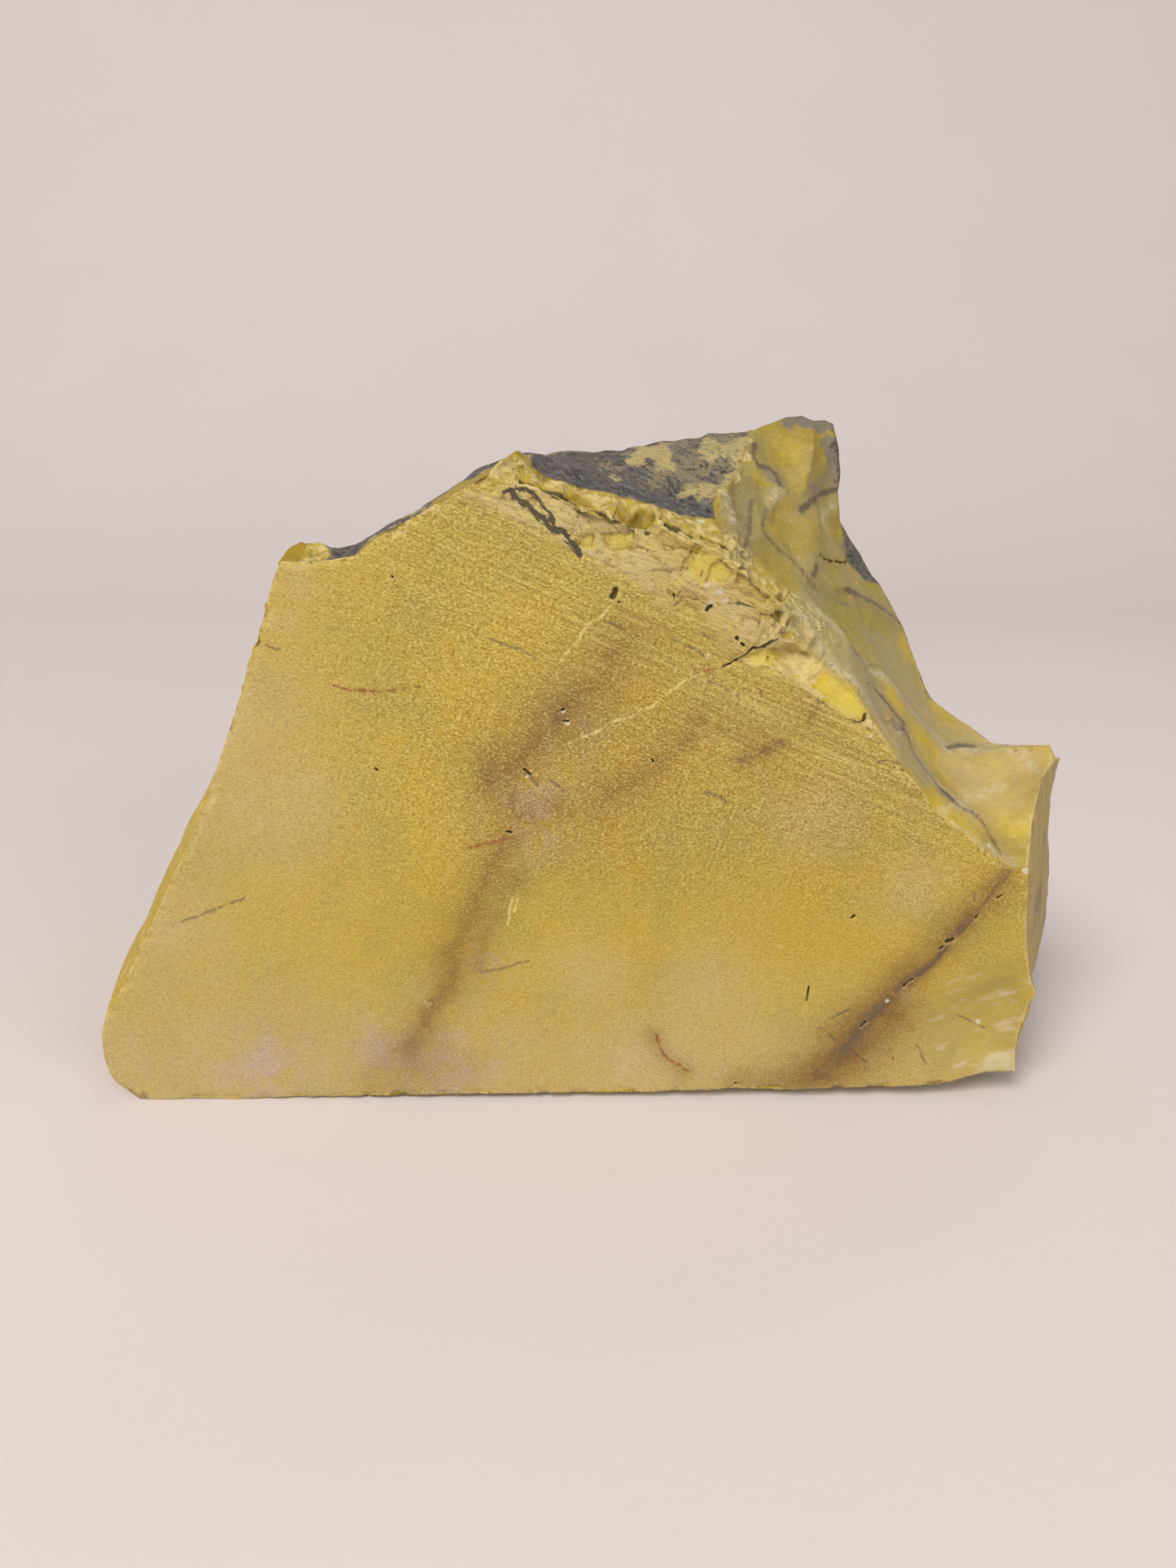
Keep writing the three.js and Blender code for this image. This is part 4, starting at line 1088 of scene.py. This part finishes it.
def sawn_finish():
    """The sawn face: mustard with brown stains, fine grains and saw marks, crushed to powder at its top."""
    f = Finish("sawn_mookaite", MUSTARD)
    f.lay(OLIVE, f.rise(f.noise(13, 4), 0.42, 0.68))
    f.lay(GOLD, f.rise(f.noise(8, 3, shift=23), 0.48, 0.68) * 0.7)
    left = f.rise(f.across, -14, -46)
    low = f.rise(f.up, 22, 2)
    cloudy = f.noise(3, 4, 0.6, shift=7)
    haze = f.painted("haze") * 0.5 + left * 0.3 + low * 0.5
    f.lay(HAZE, haze * (cloudy * 1.1 + 0.2))
    blush = f.painted("blush") * f.rise(f.noise(3.2, 5, 0.65, shift=61), 0.36, 0.6)
    f.lay(PURPLE_HAZE, blush * 0.85)
    stain = f.painted("stain")
    f.lay(ORANGE_STAIN, f.rise(stain, 0.05, 0.4) * f.rise(f.noise(5, 3, shift=77), 0.42, 0.62) * 0.25)
    f.lay(BROWN_STAIN, stain * (f.noise(1.8, 5, 0.62, shift=9) * 1.3 + 0.45))

    # grains lie along the saw cut, which shows as stripes towards the top
    upper = f.where("crushed", -190, -25)
    chip = f.where("chip", 0, 30)
    clear = (f.rise(f.across, -36, -10) * f.rise(f.up, 16, 40) * 0.55 + 0.48) * (1 - chip * 0.75)
    fine = f.noise(0.19, 2, 0.6, place=f.drawn_out((1.7, 1, 1), 20))
    broad = f.noise(0.6, 4, 0.75, place=f.drawn_out((1.8, 1, 1), 16))
    grain = fine * 0.7 + broad * 0.3
    stripe = f.noise(0.34, 4, 0.7, place=f.drawn_out((34, 1, 1), SAW_ANGLE))
    wide_stripe = f.noise(2.6, 2, 0.5, place=f.drawn_out((20, 1, 1), SAW_ANGLE), shift=5)
    band = f.where("crushed", -95, -40) * (f.rise(wide_stripe, 0.4, 0.6) * 0.55 + 0.4)
    f.lay(OLIVE, band)
    f.lay(PALE_MUSTARD, f.rise(grain, 0.49, 0.62) * clear * (1 - stain * 0.5) * 0.7)
    f.lay(BROWN_STAIN, f.rise(grain, 0.5, 0.37) * clear * 0.75)
    f.lay(BROWN_STAIN, f.rise(stripe, 0.5, 0.36) * (upper * 0.34 + 0.03))
    f.lay(PALE_MUSTARD, f.rise(stripe, 0.5, 0.66) * (upper * 0.34 + 0.03))
    core = f.frayed("stain", f.noise(0.8, 4, 0.7, shift=39), 0.3, 0.8, 0.98)
    f.lay(DARK_VEIN, core * 0.55)

    # the crushed band
    drift = f.noise(2.0, 5, 0.7, place=f.drawn_out((3.2, 1, 1), SAW_ANGLE))
    crushed = f.frayed("crushed", drift, 90, -6, 18)
    coarse = f.noise(0.34, 4, 0.75, place=f.drawn_out((3.2, 1, 1), SAW_ANGLE), shift=3)
    crumb = f.noise(0.5, 4, 0.75, shift=44)
    powder = f.mix(POWDER, PALE_MUSTARD, f.rise(f.noise(2.6, 4, 0.6, shift=21), 0.5, 0.6))
    lower = f.where("crushed", 58, 8) * f.rise(f.across, 4, 9)
    powder = f.mix(powder, MUSTARD, lower * 0.6)
    powder = f.mix(powder, BROWN_STAIN, f.rise(coarse, 0.48, 0.34) * (lower * 0.3 + 0.5))
    powder = f.mix(powder, WHITE_VEIN_AND_SHEEN, f.rise(coarse, 0.54, 0.68) * 0.35)
    powder = f.mix(powder, CRACK_SHADE, f.rise(crumb, 0.38, 0.3) * 0.5)
    smooth = f.painted("facet")
    clean = f.mix(FACET_YELLOW, POWDER, f.rise(crumb, 0.52, 0.66) * 0.6)
    powder = f.mix(powder, clean, smooth * 0.85)
    f.lay(powder, crushed * 0.92)
    # the chip: greener, with whitish ripples that are partly pale shell lines and partly painted sheen on the
    # glossy shell
    shell = f.noise(2.0, 5, 0.65, place=f.drawn_out((3.6, 1, 1), -24), shift=3)
    f.lay(OLIVE, chip * 0.35)
    f.lay(WHITE_VEIN_AND_SHEEN, chip * f.rise(shell, 0.51, 0.64) * 0.45)

    # thin lines, pits and dark streaks
    thin = f.noise(0.4, 3, 0.65, shift=14) * 0.5
    rust = f.rise(f.painted("rust") + thin, 0.52, 0.32)
    dark = f.rise(f.painted("dark") + thin, 0.49, 0.31)
    scratch = f.rise(f.painted("light") + thin, 0.46, 0.3)
    torn = f.noise(0.36, 4, 0.75, place=f.drawn_out((3.4, 1, 1), 47))
    black = f.frayed("black", torn, 7, 1.4, 0.9)
    f.lay(PALE_MUSTARD, scratch * 0.75)
    f.lay(WHITE_VEIN_AND_SHEEN, f.where("spot", 1.1, 0.6) * 0.8)
    f.lay(RUST, rust * 0.75)
    f.lay(DARK_VEIN, dark * 0.58)
    f.lay(BLACK_SPECK, black * 0.88)
    pit = f.painted("pit")
    f.lay(PALE_MUSTARD, f.rise(pit, 2.4, 1.4) * 0.2)
    crack = f.where("crack", 1.3, 0.6)
    gap = f.where("gap", 0.9, 0.4)
    f.lay(CRACK_SHADE, f.most(crack, gap, f.rise(pit, 1.1, 0.7)) * 0.85)
    f.lay(POWDER, f.where("edge", 0.12, 0.5) * f.rise(pit, 2, 3.5) * 0.55)
    # painted shade: the brown laid in the crushed band's creases and hollows stands in for their shadow
    f.lay(BROWN_STAIN, f.where("edge", -0.12, -0.5) * crushed * 0.5)

    height = grain * 0.8 + stripe * (upper * 0.5 + 0.1) + crushed * coarse * (2.4 - smooth * 1.4)
    roughness = 0.6 + crushed * 0.25 - chip * 0.22
    return f.surface(roughness, height, 0.15)


def broken_finish():
    """Fresh breaks: waxy yellow, more olive further back with painted shade, dark veins with pale borders,
    painted highlights along ridges, powder on the ridges and painted shade in the hollows.
    """
    f = Finish("broken_mookaite", FRESH_YELLOW)
    # high and far back, on the horn, the breaks turn more olive and smoky grey: the stone's own tone,
    # deepened there as painted shade
    deep = f.rise(f.up, 43, 54) * f.rise(f.back, 7, 12)
    ledge = f.rise(f.back, 10, 7) * f.rise(f.up, 50, 56)
    smooth = f.painted("facet")
    patchy = f.noise(5, 5, 0.62, shift=2)
    f.lay(FRESH_OLIVE, f.rise(patchy + deep * 0.2, 0.42, 0.72) * 0.9)
    f.lay(OLIVE, f.rise(f.noise(1.9, 5, 0.68, shift=8), 0.46, 0.68) * 0.55)
    f.lay(HAZE, f.rise(f.noise(9, 4, 0.6, shift=33), 0.54, 0.7) * 0.25)
    grey = f.frayed("grey", f.noise(2, 4, 0.65), 30, -8, 8)
    f.lay(GREY_STONE, grey * 0.8)
    smoke = f.rise(f.noise(4.4, 5, 0.7, shift=51), 0.52, 0.66)
    f.lay(GREY_STONE, smoke * deep * 0.6)
    f.lay(DEEP_OLIVE, grey * f.rise(f.across, 21, 18) * 0.55)
    pale_ear = f.rise(f.up, 31.5, 35) * f.rise(f.up, 40, 38) * f.rise(f.across, 38, 42)
    f.lay(HAZE, pale_ear * (f.noise(3, 4, 0.6, shift=95) * 0.8 + 0.1))
    f.lay(FACET_YELLOW, smooth * f.rise(f.up, 58, 54) * 0.7)
    f.lay(LENS_YELLOW, smooth * ledge * f.rise(f.up, 54, 58) * 0.45)
    scratches = f.noise(0.35, 4, 0.7, place=f.drawn_out((5, 1, 1), -38), shift=91)
    f.lay(PALE_MUSTARD, f.rise(scratches, 0.54, 0.66) * 0.3)
    f.lay(FRESH_OLIVE, f.rise(scratches, 0.46, 0.34) * 0.3)
    skin = f.frayed("skin", f.noise(0.9, 4, 0.7), 2.6, 1.5, 0.7)
    f.lay(f.mix(RIND_PURPLE, RIND_GREY, f.rise(f.up, 66, 70)), skin * 0.8)

    thin = f.noise(0.7, 4, 0.7, shift=14)
    pale = f.painted("pale") * f.rise(thin, 0.36, 0.6)
    vein = f.frayed("vein", thin, 0.9, 0.3, 0.75)
    bruise = f.painted("bruise")
    f.lay(GREY_STONE, bruise * 0.75)
    f.lay(DARK_VEIN, bruise * bruise * 0.3)
    # pale vein borders, and painted highlights along the ridges
    f.lay(WHITE_VEIN_AND_SHEEN, pale * 0.5)
    f.lay(DARK_VEIN, vein * 0.8)
    raised = f.frayed("edge", f.noise(0.7, 3), 0.7, 0.2, 0.55)
    crumbly = f.where("crushed", -14, 6) * f.rise(f.noise(1.3, 4, 0.65, shift=6), 0.41, 0.52)
    coarse = f.noise(0.4, 4, 0.75, shift=3)
    popcorn = f.rise(f.noise(1.1, 5, 0.7, shift=83), 0.44, 0.54) * ledge * (1 - smooth) * 0.9
    powder = f.most(raised * f.rise(f.back, 13, 7) * 0.6, crumbly * (1 - smooth * 0.8), popcorn)
    f.lay(f.mix(PALE_MUSTARD, POWDER, f.rise(coarse, 0.36, 0.54)), powder)
    f.lay(BROWN_STAIN, powder * f.rise(coarse, 0.4, 0.3) * 0.5)
    f.lay(POWDER, f.where("cream", -2, 4) * f.rise(coarse, 0.36, 0.5) * 0.85)
    # painted shade: olive laid in the ledge's flake hollows and deep olive in its creases stand in for their
    # shadow
    crease_shade = f.where("edge", -0.1, -0.5) * ledge
    hollow_shade = f.frayed("hollow", f.noise(0.8, 4, 0.65), 0.5, 0.1, 0.7)
    f.lay(f.mix(FRESH_OLIVE, MUSTARD, 0.35), hollow_shade * ledge * 0.8)
    f.lay(DEEP_OLIVE, crease_shade * 0.5)
    f.lay(WHITE_VEIN_AND_SHEEN, f.where("spot", 1.1, 0.6) * 0.8)
    crack = f.most(f.where("crack", 1.6, 1.0), f.where("gap", 0.9, 0.4))
    f.lay(CRACK_SHADE, crack * 0.88)
    f.lay(RIND_GREY, f.weathered())

    height = f.noise(1.2, 5, 0.65) + scratches * 0.25 + powder * coarse * 1.2
    roughness = 0.4 + powder * 0.4
    return f.surface(roughness, height, 0.15, specular=0.17)


def rind_finish():
    """The weathered rind: dark grey, mottled with tan and cream, rough and pitted."""
    f = Finish("weathered_rind", RIND_GREY)
    top = f.rise(f.up, 58, 62)
    near = f.rise(f.back, 13.5, 10) * top
    right = f.rise(f.across, 1, 13) * top
    patchy = f.noise(2.6, 6, 0.7)
    fine = f.noise(0.6, 5, 0.75)
    f.lay(RIND_PURPLE, f.rise(f.noise(8, 4, 0.6, shift=17), 0.5, 0.66) * 0.6)
    f.lay(RIND_TAN, f.rise(patchy + right * 0.1 - near * 0.13, 0.5, 0.6) * 0.85)
    f.lay(RIND_TAN, f.rise(fine + right * 0.03 - near * 0.08, 0.55, 0.66) * 0.7)
    glint = f.noise(0.5, 4, 0.75, place=f.drawn_out((2.2, 1, 1), 16), shift=26)
    f.lay(RIND_LIGHT_GREY, f.rise(glint, 0.52, 0.62) * 0.9)
    f.lay(BLACK_SPECK, f.rise(fine, 0.5, 0.4) * 0.85)
    cream = f.frayed("cream", f.noise(0.8, 5, 0.75), 26, -1, 2)
    tan = f.mix(RIND_CREAM, RIND_TAN, f.rise(f.noise(0.9, 5, 0.7, shift=35), 0.5, 0.64) * 0.7)
    tan = f.mix(tan, RIND_GREY, f.rise(fine, 0.48, 0.4) * right * 0.6)
    f.lay(tan, cream * 0.92)
    strip = f.rise(f.across, -26, -12) * f.rise(f.across, -5, -8) * 1.9
    fresh = f.mix(FRESH_YELLOW, POWDER, f.rise(fine, 0.44, 0.6) * near * 0.7)
    fresh = f.mix(fresh, RIND_GREY, f.where("skin", 2.6, 1.4))
    f.colour = f.mix(fresh, f.colour, f.weathered(strip))
    height = patchy * 0.8 + fine * 0.9
    roughness = 0.62 - near * 0.16
    return f.surface(roughness, height, 0.9)


def side_finish():
    """The narrow broken sides: tan with upright streaks and purple-grey spots."""
    f = Finish("side_mookaite", SIDE_TAN)
    streak = f.noise(1.2, 5, 0.65, place=f.drawn_out((1, 1, 6)))
    yellow = f.rise(f.across, 0, -20)
    f.lay(MUSTARD, yellow)
    f.lay(PALE_MUSTARD, f.rise(streak, 0.5, 0.7) * (yellow * 0.3 + 0.3))
    f.lay(BROWN_STAIN, f.rise(streak, 0.44, 0.3) * 0.5)
    spots = f.noise(2.2, 5, 0.7, place=f.drawn_out((1, 1, 2.4)), shift=12)
    f.lay(RIND_PURPLE, f.rise(spots, 0.52, 0.62) * f.rise(f.across, -10, 10) * 0.7)
    fine = f.noise(0.3, 3, 0.65, shift=19)
    f.lay(BROWN_STAIN, f.rise(fine, 0.48, 0.34) * 0.35)
    powder = f.frayed("edge", f.noise(0.7, 3), 0.7, 0.3, 0.65)
    f.lay(POWDER, powder * 0.35)
    f.lay(LENS_YELLOW, yellow * f.rise(f.up, 56.5, 58) * 0.95)
    f.lay(RIND_GREY, f.weathered())
    height = f.noise(1.2, 4, 0.65) + streak * 0.6 + fine * 0.3
    return f.surface(0.58, height, 0.12)


def table_finish():
    f = Finish("pale_table", TABLE_COLOUR)
    f.lay(tuple(part * 0.96 for part in TABLE_COLOUR), f.noise(60, 2))
    return f.surface(0.8, f.noise(1.5, 2), 0.02, specular=0.2)


SAWN, BROKEN, RIND, SIDE = range(4)
FACES_RIGHT = 0.55
for finish in (sawn_finish, broken_finish, rind_finish, side_finish):
    stone.data.materials.append(finish())

corners = read(mesh.loops, "vertex_index", 1, np.int32).reshape(-1, 3)
centre = at[corners].mean(1)
turned_right = read(mesh.polygons, "normal", 3)[:, 0] > FACES_RIGHT
bare = rind_depth(centre) <= 0
kind = np.where(bare, BROKEN, RIND)
kind[bare & turned_right & boxed(centre, RIGHT_SIDE)] = SIDE
kind[bare & boxed(centre, LEFT_SIDE)] = SIDE
kind[(centre[:, 1] < ON_FACE) | (centre[:, 2] < ON_FACE)] = SAWN
mesh.polygons.foreach_set("material_index", kind.astype(np.int32))
alone(stone)
bpy.ops.object.shade_smooth_by_angle(angle=SHOW_SHARP)


def back_edges(mesh):
    """True for the edges along the back of the table, on the floor."""
    ends = read(mesh.vertices, "co", 3)[edges_of(mesh)]
    return ((ends[..., 1] > 0) & (ends[..., 2] < BACKDROP_BEND)).all(1)


def make_table():
    """A pale table that curves up into the backdrop."""
    bpy.ops.object.select_all(action="DESELECT")
    bpy.ops.mesh.primitive_plane_add(size=TABLE_SIZE, location=(0, BACKDROP_DISTANCE - TABLE_SIZE / 2, 0))
    table = bpy.context.active_object
    table.name = "table"
    pick_edges(table.data, back_edges(table.data))
    bpy.ops.mesh.extrude_region_move(TRANSFORM_OT_translate={"value": (0, 0, BACKDROP_HEIGHT)})
    bpy.ops.object.mode_set(mode="OBJECT")
    pick_edges(table.data, back_edges(table.data))
    bpy.ops.mesh.bevel(offset=BACKDROP_BEND, segments=BEND_SEGMENTS)
    bpy.ops.object.mode_set(mode="OBJECT")
    bpy.ops.object.transform_apply()
    bpy.ops.object.shade_smooth()
    table.data.materials.append(table_finish())


make_camera()
make_lights()
make_table()

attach(stone, "root")
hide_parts("mookaite_stone")

bpy.context.view_layer.update()
